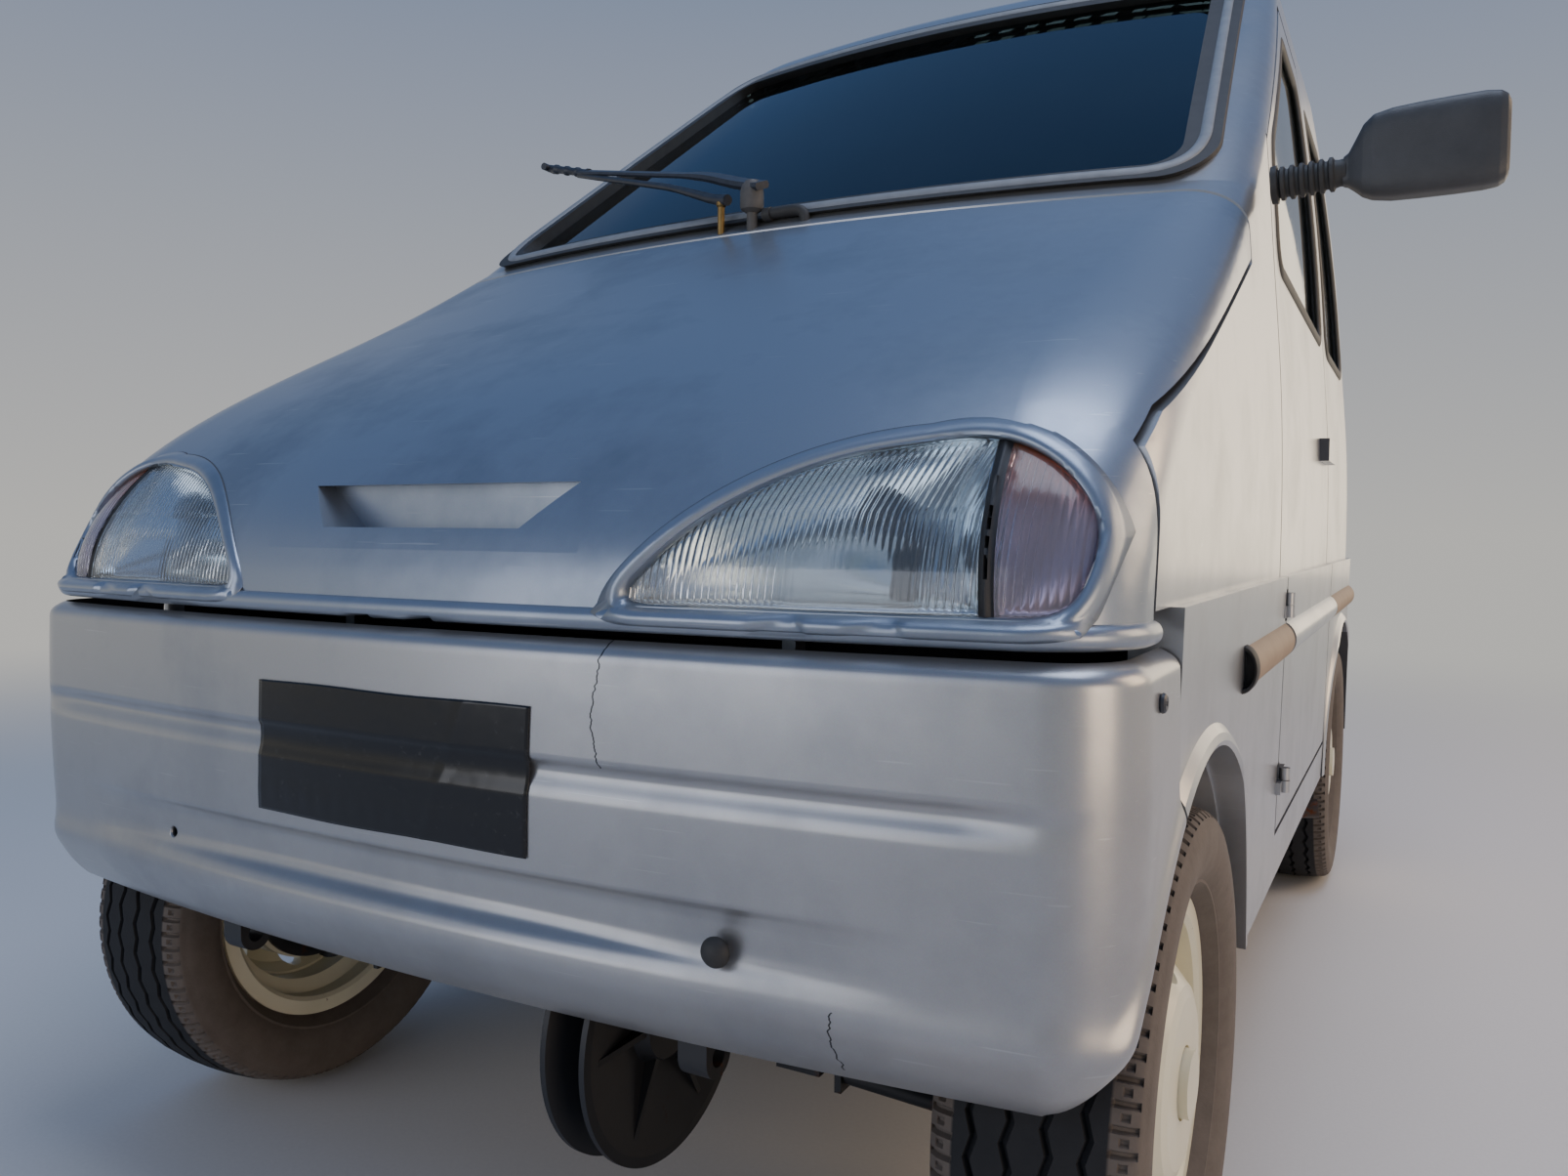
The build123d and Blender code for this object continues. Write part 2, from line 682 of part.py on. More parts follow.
def lamp_outline(shrink):
    """Front view of the left headlamp opening, half oval with a flat foot."""
    with BuildSketch(Plane.XZ.offset(-shrink)) as flat:
        with BuildLine():
            foot = Line((LAMP_OUTER_X - 12, LAMP_FOOT_Z), (LAMP_INNER_X, LAMP_FOOT_Z))
            brow = ThreePointArc(foot @ 1, (285, 667), (400, LAMP_HEAD_Z))
            shoulder = ThreePointArc(brow @ 1, (480, 690), (LAMP_OUTER_X, 640))
            Line(shoulder @ 1, foot @ 0)
        make_face()
        if shrink:
            offset(amount=-shrink, kind=Kind.INTERSECTION)
    return flat.sketch


def lamp_prism(shrink, y_from, y_to):
    with BuildPart() as prism:
        extrude(lamp_outline(shrink).moved(Location((0, y_from, 0))), amount=y_from - y_to)
    return prism.part


# Front body: both fenders, the scuttle below the windscreen, the pillar feet and wheel liners
with BuildPart() as front_body:
    add(wall)
    add(block((-REACH, REACH), (DOOR_FRONT_Y - GAP, 3000), (0, 2000)), mode=Mode.SUBTRACT)
    add(block((-REACH, REACH), (-REACH, 3000), (PILLAR_SEAM_Z, 2000)), mode=Mode.SUBTRACT)
    add(block((-REACH, REACH), (-REACH, BUMPER_END_Y + 4), (0, LEDGE_Z)), mode=Mode.SUBTRACT)
    add(hood_space.part, mode=Mode.SUBTRACT)
    add(screen_opening, mode=Mode.SUBTRACT)
    add(wheel_cylinder(0, ARCH_R, -REACH, REACH), mode=Mode.SUBTRACT)
    add(hinge_pockets(), mode=Mode.SUBTRACT)
    add(mirrored(hinge_pockets()), mode=Mode.SUBTRACT)
    add(door_hinges(False))
    add(mirrored(door_hinges(False)))
    with BuildPart() as flares:
        add(arch_flare(0))
        add(block((0, REACH), (BUMPER_END_Y + 4, REACH), (SILL_Z, REACH)), mode=Mode.INTERSECT)
    add(flares.part)
    add(mirrored(flares.part))
    add(wheel_liner(0, 300, HUB_Z + 40, -190))
    add(mirrored(wheel_liner(0, 300, HUB_Z + 40, -190)))
save(front_body.part, "front_body")

# Roof with the windscreen pillars
door_opening = side_prism(door_outline(GAP), -REACH, REACH)
with BuildPart() as roof:
    add(wall)
    add(block((-REACH, REACH), (-REACH, 3000), (0, PILLAR_SEAM_Z)), mode=Mode.SUBTRACT)
    add(block((-REACH, REACH), (DOOR_REAR_Y - 100, 3000), (0, ROOF_SEAM_Z)), mode=Mode.SUBTRACT)
    add(door_opening, mode=Mode.SUBTRACT)
    add(screen_opening, mode=Mode.SUBTRACT)
    add(tailgate_region(GAP), mode=Mode.SUBTRACT)
    add(tailgate_hinges(False))
save(roof.part, "roof")

# Side walls with the sill below the door, middle pillar, quarter window and rear wheel arch
rear_panel_region = block((-TAILGATE_HALF_FOOT, TAILGATE_HALF_FOOT), (1600, 2000), (0, TAILGATE_BOTTOM_Z - GAP))
lamp_region = block((TAIL_LAMP_X[0], TAIL_LAMP_X[1]), (1500, 2000), TAIL_LAMP_Z)
with BuildPart() as side_left:
    add(wall)
    add(block((-REACH, 0), (-REACH, 3000), (0, 2000)), mode=Mode.SUBTRACT)
    add(block((-REACH, REACH), (-REACH, DOOR_FRONT_Y - GAP), (0, 2000)), mode=Mode.SUBTRACT)
    add(block((0, REACH), (0, DOOR_REAR_Y + GAP), (DOOR_BOTTOM_Z - GAP, 2000)), mode=Mode.SUBTRACT)
    add(block((-REACH, REACH), (0, 3000), (ROOF_SEAM_Z, 2000)), mode=Mode.SUBTRACT)
    add(tailgate_region(GAP), mode=Mode.SUBTRACT)
    add(rear_panel_region, mode=Mode.SUBTRACT)
    add(lamp_region, mode=Mode.SUBTRACT)
    add(side_prism(quarter_window(0), 0, REACH, 40), mode=Mode.SUBTRACT)
    add(wheel_cylinder(WHEELBASE, ARCH_R, 0, REACH), mode=Mode.SUBTRACT)
    with BuildPart() as flares:
        add(arch_flare(WHEELBASE))
        add(block((0, REACH), (0, 3000), (SILL_Z, REACH)), mode=Mode.INTERSECT)
    add(flares.part)
    add(wheel_liner(WHEELBASE, 385, HUB_Z + 20, WHEELBASE - 400))
save(side_left.part, "side_left")
save(mirrored(side_left.part), "side_right")

# Rear panel below the tailgate
with BuildPart() as rear_panel:
    add(wall)
    add(rear_panel_region, mode=Mode.INTERSECT)
save(rear_panel.part, "rear_panel")

# Tail lamps on the rear corners
with BuildPart() as tail_lamps:
    add(wall)
    add(lamp_region, mode=Mode.INTERSECT)
    mirror(about=Plane.YZ)
save(tail_lamps.part, "tail_lamps")

# Hood: a clamshell with lamp openings, a vent recess and a rounded bar along its foot
with BuildPart() as nose_form:
    add(stack(CHIN))
    add(stack(NOSE))
nose_block = nose_form.part
lamp_cut = lamp_prism(0, -420, -130)
with BuildPart() as hood:
    add(nose_block)
    add(stack(CHIN, HOOD_SKIN), mode=Mode.SUBTRACT)
    add(stack(NOSE, HOOD_SKIN), mode=Mode.SUBTRACT)
    add(vent_backing(nose_block))
    add(hood_side_prism, mode=Mode.INTERSECT)
    add(plan_region(SCUTTLE_NOSE, SCUTTLE_BOW, 3000), mode=Mode.SUBTRACT)
    add(end_prism(VENT_OUTLINE, -400, VENT_FLOOR_Y), mode=Mode.SUBTRACT)
    add(hood_bar())
    add(lamp_cut, mode=Mode.SUBTRACT)
    add(mirrored(lamp_cut), mode=Mode.SUBTRACT)
    add(hood_arm())
    add(mirrored(hood_arm()))
save(hood.part, "hood")

# Doors with window opening, hinge knuckles, rub strip and grip
with BuildPart() as door_left:
    add(wall)
    add(side_prism(door_outline(0), 0, REACH), mode=Mode.INTERSECT)
    add(side_prism(door_window(0), 0, REACH, 24), mode=Mode.SUBTRACT)
    add(hinge_pockets(), mode=Mode.SUBTRACT)
    add(door_hinges(True))
    add(rub_strip(DOOR_FRONT_Y + GAP, DOOR_REAR_Y))
    with Locations((HALF_WIDTH - 8, DOOR_REAR_Y - 90, HANDLE_Z)):
        Box(20, 130, 34)
save(door_left.part, "door_left")
save(mirrored(door_left.part), "door_right")

# Tailgate with window opening and hinge knuckles
with BuildPart() as tailgate:
    add(wall)
    add(tailgate_region(0), mode=Mode.INTERSECT)
    add(end_prism(tailgate_window(0), 1600, 2000, 30), mode=Mode.SUBTRACT)
    add(tailgate_hinges(True))
save(tailgate.part, "tailgate")

# Window panes, set below the outer faces
with BuildPart() as pane_block:
    add(stack(NOSE, GLASS_INSET))
    add(stack(GLASSHOUSE, GLASS_INSET))
    add(stack(NOSE, GLASS_INSET + GLASS), mode=Mode.SUBTRACT)
    add(stack(GLASSHOUSE, GLASS_INSET + GLASS), mode=Mode.SUBTRACT)
panes = pane_block.part
pane_cuts = {
    "windscreen": end_prism(screen_outline(SCREEN_LAP - SEAT), -100, 1150, 40),
    "door_glass_left": side_prism(door_window(-SEAT), 0, REACH, 24),
    "quarter_glass": side_prism(quarter_window(-SEAT), -REACH, REACH, 40),
    "tailgate_glass": end_prism(tailgate_window(-SEAT), 1600, 2000, 30),
}
for label, cut in pane_cuts.items():
    with BuildPart() as pane:
        add(panes)
        add(cut, mode=Mode.INTERSECT)
    save(pane.part, label)
    if label == "door_glass_left":
        save(mirrored(pane.part), "door_glass_right")

# Rubber seal round the windscreen
with BuildPart() as windscreen_seal:
    add(stack(GLASSHOUSE, -SEAL_PROUD))
    add(end_prism(screen_outline(SEAL_WIDTH), -100, 1150, 50), mode=Mode.INTERSECT)
    add(stack(GLASSHOUSE, GLASS_INSET), mode=Mode.SUBTRACT)
    add(end_prism(screen_outline(0), -100, 1150, 30), mode=Mode.SUBTRACT)
    add(front_body.part, mode=Mode.SUBTRACT)
    add(roof.part, mode=Mode.SUBTRACT)
save(windscreen_seal.part, "windscreen_seal")

# Headlamps and indicators in the hood
with BuildPart() as lamp_block:
    add(stack(CHIN, LAMP_INSET))
    add(stack(NOSE, LAMP_INSET))
    add(lamp_prism(SEAT, -420, LAMP_BACK_Y), mode=Mode.INTERSECT)
divider_outline = [(DIVIDER_X[0], DIVIDER_Z[0]), (REACH, DIVIDER_Z[0]), (REACH, DIVIDER_Z[1]), (DIVIDER_X[1], DIVIDER_Z[1])]
divider = end_prism(divider_outline, -REACH, 0)
with BuildPart() as headlamp_left:
    add(lamp_block.part)
    add(divider, mode=Mode.SUBTRACT)
with BuildPart() as indicators:
    add(lamp_block.part)
    add(divider, mode=Mode.INTERSECT)
    mirror(about=Plane.YZ)
save(headlamp_left.part, "headlamp_left")
save(mirrored(headlamp_left.part), "headlamp_right")
save(indicators.part, "indicators")

# Front bumper: a skin with rolled edges, a groove and a recessed band with two screw holes
with BuildPart() as front_bumper:
    path = wrap_path(HALF_WIDTH - 3, BUMPER_NOSE_Y, BUMPER_CORNER_R, BUMPER_BOW_R, BUMPER_END_Y)
    with BuildSketch(Plane.XZ.offset(-BUMPER_END_Y)) as section:
        add(bumper_section(0))
        add(bumper_section(BUMPER_SKIN), mode=Mode.SUBTRACT)
    sweep(path=path)
    band_wall = [(-BAND_BACK, BAND_SIDE[0][1] - 16), (-BAND_BACK, BAND_SIDE[1][1] + 16), (0, BAND_SIDE[1][1] + 16),
                 (0, BAND_SIDE[0][1] - 16)]
    add(bow_ring(BAND_HALF, BAND_DEPTH, BAND_SETBACK, band_wall))
    add(bow_ring(BAND_HALF, BAND_DEPTH, BAND_SETBACK, BAND_SIDE), mode=Mode.SUBTRACT)
    add(bow_ring(GROOVE_HALF, GROOVE_DEPTH), mode=Mode.SUBTRACT)
    with BuildPart() as flares:
        add(arch_flare(0))
        add(block((0, REACH), (-REACH, BUMPER_END_Y), (FLARE_FOOT_Z, BUMPER_TOP_Z)), mode=Mode.INTERSECT)
    add(flares.part)
    add(mirrored(flares.part))
    with BuildSketch(Plane.XZ):
        with Locations((-BUMPER_HOLE_X, BUMPER_HOLE_Z), (BUMPER_HOLE_X, BUMPER_HOLE_Z)):
            Circle(BUMPER_HOLE_R)
    extrude(amount=400, mode=Mode.SUBTRACT)
    add(wheel_cylinder(0, ARCH_R, -REACH, REACH), mode=Mode.SUBTRACT)
save(front_bumper.part, "front_bumper")

# Rear bumper: a moulded band round the tail
with BuildPart() as rear_bumper:
    add(stack(REAR_BAND))
    add(stack(TUB, -SEAT), mode=Mode.SUBTRACT)
    add(block((-500, 500), (1600, 2100), (0, REACH)), mode=Mode.INTERSECT)
    for x in (-PLATE_HOLE_X, PLATE_HOLE_X):
        add(rod((x, 1800, PLATE_HOLE_Z), (x, 1950, PLATE_HOLE_Z), PLATE_HOLE_R), mode=Mode.SUBTRACT)
save(rear_bumper.part, "rear_bumper")

# Rub strips on the fixed body
with BuildPart() as rub_strips:
    add(rub_strip(STRIP_FRONT_Y, DOOR_FRONT_Y - 2 * GAP))
    add(rub_strip(DOOR_REAR_Y + GAP, STRIP_REAR_Y))
    add(outer, mode=Mode.SUBTRACT)
    mirror(about=Plane.YZ)
save(rub_strips.part, "rub_strips")

# Chassis: two rails, cross members, bumper carrier and the hood's hinge brackets
with BuildPart() as chassis_frame:
    for side in (-1, 1):
        rail = (side * RAIL_X - RAIL_SIZE / 2, side * RAIL_X + RAIL_SIZE / 2)
        add(block(rail, (RAIL_FRONT_Y, RAIL_REAR_Y), RAIL_SPAN))
        add(block(rail, (RAIL_FRONT_Y, RAIL_FRONT_Y + RAIL_SIZE), (RAIL_Z, HORN_SPAN[1])))
        add(block(rail, (HORN_FRONT_Y, RAIL_FRONT_Y + 1), HORN_SPAN))
        bracket = sorted((side * (HOOD_ARM_X + HOOD_ARM_T / 2 + 3), side * (HOOD_ARM_X + HOOD_ARM_T / 2 + 11)))
        add(block(bracket, (HOOD_HINGE_Y - 7, HOOD_HINGE_Y + 19), (HORN_SPAN[0] + 8, HOOD_HINGE_Z + 14)))
        hole_from, hole_to = sorted((side * 240, side * 290))
        add(rod((hole_from, HOOD_HINGE_Y, HOOD_HINGE_Z), (hole_to, HOOD_HINGE_Y, HOOD_HINGE_Z),
                HOOD_PIN_R + RUNNING), mode=Mode.SUBTRACT)
        plate = sorted((side * (RAIL_X - 5), side * (RAIL_X + 5)))
        add(block(plate, (ARM_PIVOT_Y - 22, ARM_PIVOT_Y + 22), (ARM_PIVOT_Z - 20, RAIL_Z)))
        add(rod((plate[0] - 1, ARM_PIVOT_Y, ARM_PIVOT_Z), (plate[1] + 1, ARM_PIVOT_Y, ARM_PIVOT_Z),
                ARM_TUBE_R + SEAT), mode=Mode.SUBTRACT)
        tower = sorted((side * (RAIL_X - 15), side * (RAIL_X + 15)))
        add(block(tower, (WHEELBASE - 15, WHEELBASE + 15), (RAIL_Z, TOWER_Z)))
        add(block(sorted((side * (RAIL_X - 15), side * 345)), (WHEELBASE - 18, WHEELBASE + 18),
                  (TOWER_Z - 10, TOWER_Z)))
        lug = sorted((side * LUG_X[0], side * LUG_X[1]))
        add(block(lug, (LUG_Y - LUG_R, LUG_Y + LUG_R), (LUG_Z, HORN_SPAN[0] + 1)))
        add(rod((lug[0], LUG_Y, LUG_Z), (lug[1], LUG_Y, LUG_Z), LUG_R))
        add(rod((lug[0] - 1, LUG_Y, LUG_Z), (lug[1] + 1, LUG_Y, LUG_Z), LUG_BORE_R), mode=Mode.SUBTRACT)
        upright = sorted((side * (CARRIER_HALF - 16), side * CARRIER_HALF))
        add(block(upright, (CARRIER_Y, CARRIER_Y + 20), (HORN_SPAN[0] + 8, CARRIER_SPAN[1])))
        pad = sorted((side * 190, side * 200))
        add(block(pad, (BUMPER_NOSE_Y + 14.4, CARRIER_Y + 1), CARRIER_SPAN))
    for y in CROSS_MEMBER_Y:
        add(block((-RAIL_X, RAIL_X), (y - RAIL_SIZE / 2, y + RAIL_SIZE / 2), RAIL_SPAN))
    add(block((-CARRIER_HALF, CARRIER_HALF), (CARRIER_Y, CARRIER_Y + 12), CARRIER_SPAN))
save(chassis_frame.part, "chassis_frame")

# Floor pan with the bulkhead in front of the feet
with BuildPart() as floor_pan:
    add(block((-FLOOR_HALF, FLOOR_HALF), (BULKHEAD_Y, REAR_ARCH_FRONT_Y), (FLOOR_Z + SEAT, FLOOR_Z + FLOOR_T)))
    add(block((-380, 380), (REAR_ARCH_FRONT_Y - 1, 1785), (FLOOR_Z + SEAT, FLOOR_Z + FLOOR_T)))
    add(block((-FLOOR_HALF, FLOOR_HALF), (BULKHEAD_Y, BULKHEAD_Y + 12), (FLOOR_Z + SEAT, LEDGE_Z - 10)))
    add(block((-BULKHEAD_HALF, BULKHEAD_HALF), (BULKHEAD_Y, BULKHEAD_Y + 12), (LEDGE_Z - 11, BULKHEAD_TOP_Z)))
    add(wheel_cylinder(WHEELBASE, ARCH_R + 4, -REACH, -384), mode=Mode.SUBTRACT)
    add(wheel_cylinder(WHEELBASE, ARCH_R + 4, 384, REACH), mode=Mode.SUBTRACT)
    for side in (-1, 1):
        tower = sorted((side * (RAIL_X - 17), side * (RAIL_X + 17)))
        add(block(tower, (WHEELBASE - 17, WHEELBASE + 17), (0, REACH)), mode=Mode.SUBTRACT)
        arm = sorted((side * (ARM_X - 32), side * REACH))
        add(block(arm, (WHEELBASE - 110, WHEELBASE + 50), (0, REACH)), mode=Mode.SUBTRACT)
save(floor_pan.part, "floor_pan")

# Dashboard across the cabin, with room for the steering column
wheel_centre = Vector(STEER_X, STEER_Y, STEER_Z)
column_dir = Vector(0, cos(radians(COLUMN_TILT)), sin(radians(COLUMN_TILT)))
column_top = wheel_centre - column_dir * 42
column_foot = wheel_centre - column_dir * 190
with BuildPart() as dashboard:
    with BuildSketch(Plane.YZ.offset(-DASH_HALF)) as dash_side:
        with BuildLine():
            Polyline(*DASH_SIDE, close=True)
        make_face()
        fillet(dash_side.vertices().sort_by(Axis.X)[-3:], 18)
    extrude(amount=2 * DASH_HALF)
    add(rod(column_foot - column_dir * 10, column_top, COLUMN_R + SEAT), mode=Mode.SUBTRACT)
save(dashboard.part, "dashboard")

# Steering column fixed in the dashboard, and the wheel whose shaft turns in it
with BuildPart() as steering_column:
    add(rod(column_foot, column_top, COLUMN_R))
    add(rod(column_top - column_dir * SHAFT_LENGTH, column_top, SHAFT_R + RUNNING), mode=Mode.SUBTRACT)
save(steering_column.part, "steering_column")

rim_plane = Plane(origin=tuple(wheel_centre), x_dir=(1, 0, 0), z_dir=tuple(column_dir))
with BuildPart() as steering_wheel:
    with BuildSketch(Plane(origin=rim_plane.origin, x_dir=rim_plane.x_dir, z_dir=rim_plane.y_dir)) as rim_section:
        with Locations((WHEEL_RIM_R, 0)):
            Circle(11)
    revolve(axis=Axis(rim_plane.origin, rim_plane.z_dir))
    with BuildSketch(rim_plane.offset(-14)):
        Circle(34)
    extrude(amount=24)
    with BuildSketch(rim_plane.offset(-6)):
        for angle in (0, 180, 270):
            with Locations(Location((0, 0, 0), (0, 0, angle))):
                with Locations((WHEEL_RIM_R / 2 + 8, 0)):
                    Rectangle(WHEEL_RIM_R - 24, 26)
    extrude(amount=9)
    add(rod(column_top - column_dir * (SHAFT_LENGTH - 2), wheel_centre, SHAFT_R))
save(steering_wheel.part, "steering_wheel")

# Seats: one profile for cushion and back, on a box base
with BuildPart() as seats:
    with BuildSketch(Plane.YZ.offset(SEAT_X[0])) as seat_side:
        with BuildLine():
            Polyline(*SEAT_SIDE, close=True)
        make_face()
        fillet(seat_side.vertices(), 28)
    extrude(amount=SEAT_X[1] - SEAT_X[0])
    add(block((SEAT_X[0] + 40, SEAT_X[1] - 40), SEAT_BASE_Y, (FLOOR_Z + FLOOR_T + SEAT, 415)))
    mirror(about=Plane.YZ)
save(seats.part, "seats")

# Engine as one plain block on the front cross member, with the drive pulley beside it
with BuildPart() as engine_block:
    add(block(ENGINE_X, ENGINE_Y, ENGINE_Z))
    with BuildSketch(Plane.YZ.offset(ENGINE_X[1] - 1)):
        with Locations(PULLEY_CENTRE):
            Circle(24)
    extrude(amount=9)
save(engine_block.part, "engine_block")
with BuildPart() as drive_pulley:
    with BuildSketch(Plane.XY) as groove:
        with BuildLine():
            Polyline(
                (0, ENGINE_X[1] + 8 + SEAT),
                (30, ENGINE_X[1] + 8 + SEAT),
                (PULLEY_R, PULLEY_X[0]),
                (PULLEY_R, PULLEY_X[0] + 5),
                (PULLEY_R - 34, PULLEY_X[0] + 16),
                (PULLEY_R, PULLEY_X[1] - 5),
                (PULLEY_R, PULLEY_X[1]),
                (PULLEY_R - 8, PULLEY_X[1]),
                (36, PULLEY_X[1] - 12),
                (30, PULLEY_X[1]),
                (0, PULLEY_X[1]),
                close=True,
            )
        make_face()
    revolve(axis=Axis.Y)
    for angle in range(0, 360, 60):
        with Locations(Location((0, PULLEY_X[1] - 7, 0), (0, angle, 0))):
            with Locations((64, 0, 0)):
                Box(76, 10, 5)
drive_pulley_placed = drive_pulley.part.rotate(Axis.Z, -90).moved(Location((0, *PULLEY_CENTRE)))
save(drive_pulley_placed, "drive_pulley")

# Front axle: upper and lower wishbones with the eyes that hold the kingpins
with BuildPart() as front_axle:
    x_plate = RAIL_X + RAIL_SIZE / 2 + SEAT
    for y in (-WISHBONE_Y, WISHBONE_Y):
        add(block((x_plate, x_plate + 6), (y - 13, y + 13), (HUB_Z - PIVOT_DROP - 12, HUB_Z + EYE_Z + 12)))
    for level, pivot in ((-EYE_Z, -PIVOT_DROP), (EYE_Z, EYE_Z)):
        for side in (-1, 1):
            add(rod((x_plate + 3, side * WISHBONE_Y, HUB_Z + pivot), (KINGPIN_X - 8, side * 6, HUB_Z + level), 8))
        add(rod((KINGPIN_X, 0, HUB_Z + level - 9), (KINGPIN_X, 0, HUB_Z + level + 9), 14))
        add(rod((KINGPIN_X, 0, HUB_Z + level - 20), (KINGPIN_X, 0, HUB_Z + level + 20), KINGPIN_R + RUNNING),
            mode=Mode.SUBTRACT)
    mirror(about=Plane.YZ)
save(front_axle.part, "front_axle")

# Steering knuckle with kingpin, stub axle, brake plate and steering arm
with BuildPart() as knuckle_left:
    add(rod((KINGPIN_X, 0, HUB_Z - EYE_Z - 12), (KINGPIN_X, 0, HUB_Z + EYE_Z + 12), KINGPIN_R))
    add(block((KINGPIN_X - 18, KINGPIN_X + 20), (-22, 22), (HUB_Z - 50, HUB_Z + 50)))
    add(rod((KINGPIN_X + 19, 0, HUB_Z), (KINGPIN_X + 25, 0, HUB_Z), DRUM_R - 3))
    add(rod((KINGPIN_X + 17, 0, HUB_Z), (HALF_TRACK + STUB_END, 0, HUB_Z), STUB_R))
    add(block((KINGPIN_X - 18, KINGPIN_X - 2), (20, 92), (HUB_Z - 46, HUB_Z - 34)))
save(knuckle_left.part, "knuckle_left")
save(mirrored(knuckle_left.part), "knuckle_right")

# Rear axle: torsion tube, trailing arms, stub axles and spring units
with BuildPart() as rear_axle:
    add(rod((-ARM_X - 8, ARM_PIVOT_Y, ARM_PIVOT_Z), (ARM_X + 8, ARM_PIVOT_Y, ARM_PIVOT_Z), ARM_TUBE_R))
    for side in (-1, 1):
        with BuildSketch(Plane.YZ.offset(side * ARM_X - 8)):
            with BuildLine():
                Polyline(
                    (ARM_PIVOT_Y, ARM_PIVOT_Z - 20),
                    (WHEELBASE, HUB_Z - 26),
                    (WHEELBASE + 30, HUB_Z),
                    (WHEELBASE + 18, HUB_Z + 26),
                    (WHEELBASE - 18, HUB_Z + 26),
                    (ARM_PIVOT_Y, ARM_PIVOT_Z + 20),
                    (ARM_PIVOT_Y - 20, ARM_PIVOT_Z),
                    close=True,
                )
            make_face()
        extrude(amount=16)
        add(rod((side * ARM_X, WHEELBASE, HUB_Z), (side * (KINGPIN_X + 20), WHEELBASE, HUB_Z), 24))
        add(rod((side * (KINGPIN_X + 19), WHEELBASE, HUB_Z), (side * (KINGPIN_X + 25), WHEELBASE, HUB_Z),
                DRUM_R - 3))
        add(rod((side * ARM_X, WHEELBASE, HUB_Z), (side * (HALF_TRACK + STUB_END), WHEELBASE, HUB_Z), STUB_R))
        add(rod((side * ARM_X, WHEELBASE, HUB_Z + 20), (side * ARM_X, WHEELBASE, TOWER_Z - 10 - SEAT), 7))
        for turn in range(SPRING_TURNS):
            z = HUB_Z + 46 + turn * SPRING_PITCH
            add(rod((side * ARM_X, WHEELBASE, z), (side * ARM_X, WHEELBASE, z + 9), 27))
save(rear_axle.part, "rear_axle")

# Wheels: a pressed disc rim with brake drum, and a tyre
with BuildPart() as rim:
    with BuildSketch(Plane.XY):
        with BuildLine():
            Polyline(*RIM_BARREL, close=True)
        make_face()
        with BuildLine():
            Polyline(*RIM_DISC, close=True)
        make_face()
        with BuildLine():
            Polyline(*DRUM, close=True)
        make_face()
    revolve(axis=Axis.X)
    with BuildSketch(Plane.YZ.offset(-5)):
        with PolarLocations(VENT_CIRCLE_R, VENT_HOLES):
            Circle(VENT_HOLE_R)
    extrude(amount=100, mode=Mode.SUBTRACT)
with BuildPart() as tyre:
    with BuildSketch(Plane.XY):
        with BuildLine():
            bead = Polyline((34, BORE_R), (45.7, BORE_R), (45.7, RIM_FLANGE_R + 0.5), (53, RIM_FLANGE_R + 5))
            wall_low = ThreePointArc(bead @ 1, (68, 164), (TYRE_HALF, 182))
            wall_high = ThreePointArc(wall_low @ 1, (70, 199), (60, TYRE_R - 5))
            tread = ThreePointArc(wall_high @ 1, (0, TYRE_R), (-60, TYRE_R - 5))
            far_high = ThreePointArc(tread @ 1, (-70, 199), (-TYRE_HALF, 182))
            far_low = ThreePointArc(far_high @ 1, (-68, 164), (-53, RIM_FLANGE_R + 5))
            far_bead = Polyline(far_low @ 1, (-45.7, RIM_FLANGE_R + 0.5), (-45.7, BORE_R), (-34, BORE_R))
            Polyline(far_bead @ 1, (-34, 148), (-58, 180), (-50, 202), (50, 202), (58, 180), (34, 148), (34, BORE_R))
        make_face()
    revolve(axis=Axis.X)

corners = {
    "front_left": Pos(HALF_TRACK, 0, HUB_Z),
    "front_right": Pos(-HALF_TRACK, 0, HUB_Z) * Rot(0, 0, 180),
    "rear_left": Pos(HALF_TRACK, WHEELBASE, HUB_Z),
    "rear_right": Pos(-HALF_TRACK, WHEELBASE, HUB_Z) * Rot(0, 0, 180),
}
for corner, place in corners.items():
    save(place * rim.part, f"rim_{corner}")
    save(place * tyre.part, f"tyre_{corner}")

# Exhaust: pipe under the floor, silencer beside the left rail and a tail pipe to the side
with BuildPart() as exhaust:
    with BuildLine() as down_pipe:
        FilletPolyline((40, 100, ENGINE_Z[0] - SEAT), (40, 100, 176), (40, 600, 176), (SILENCER_X, 700, SILENCER_Z),
                       (SILENCER_X, SILENCER_Y[0] + 5, SILENCER_Z), radius=28)
    with BuildSketch(Plane(origin=down_pipe.line @ 0, z_dir=(0, 0, -1))):
        Circle(13)
    sweep(path=down_pipe.wire())
    add(rod((SILENCER_X, SILENCER_Y[0], SILENCER_Z), (SILENCER_X, SILENCER_Y[1], SILENCER_Z), 44))
    for y in SILENCER_Y:
        add(block((SILENCER_X - 12, SILENCER_X + 12), (y - 8, y + 8), (SILENCER_Z, FLOOR_Z)))
    with BuildLine() as tail_pipe:
        FilletPolyline((SILENCER_X, SILENCER_Y[1] - 5, SILENCER_Z), (SILENCER_X, SILENCER_Y[1] + 60, SILENCER_Z),
                       (545, SILENCER_Y[1] + 75, SILENCER_Z + 18), radius=26)
    with BuildSketch(Plane(origin=tail_pipe.line @ 0, z_dir=(0, 1, 0))):
        Circle(15)
    sweep(path=tail_pipe.wire())
save(exhaust.part, "exhaust")

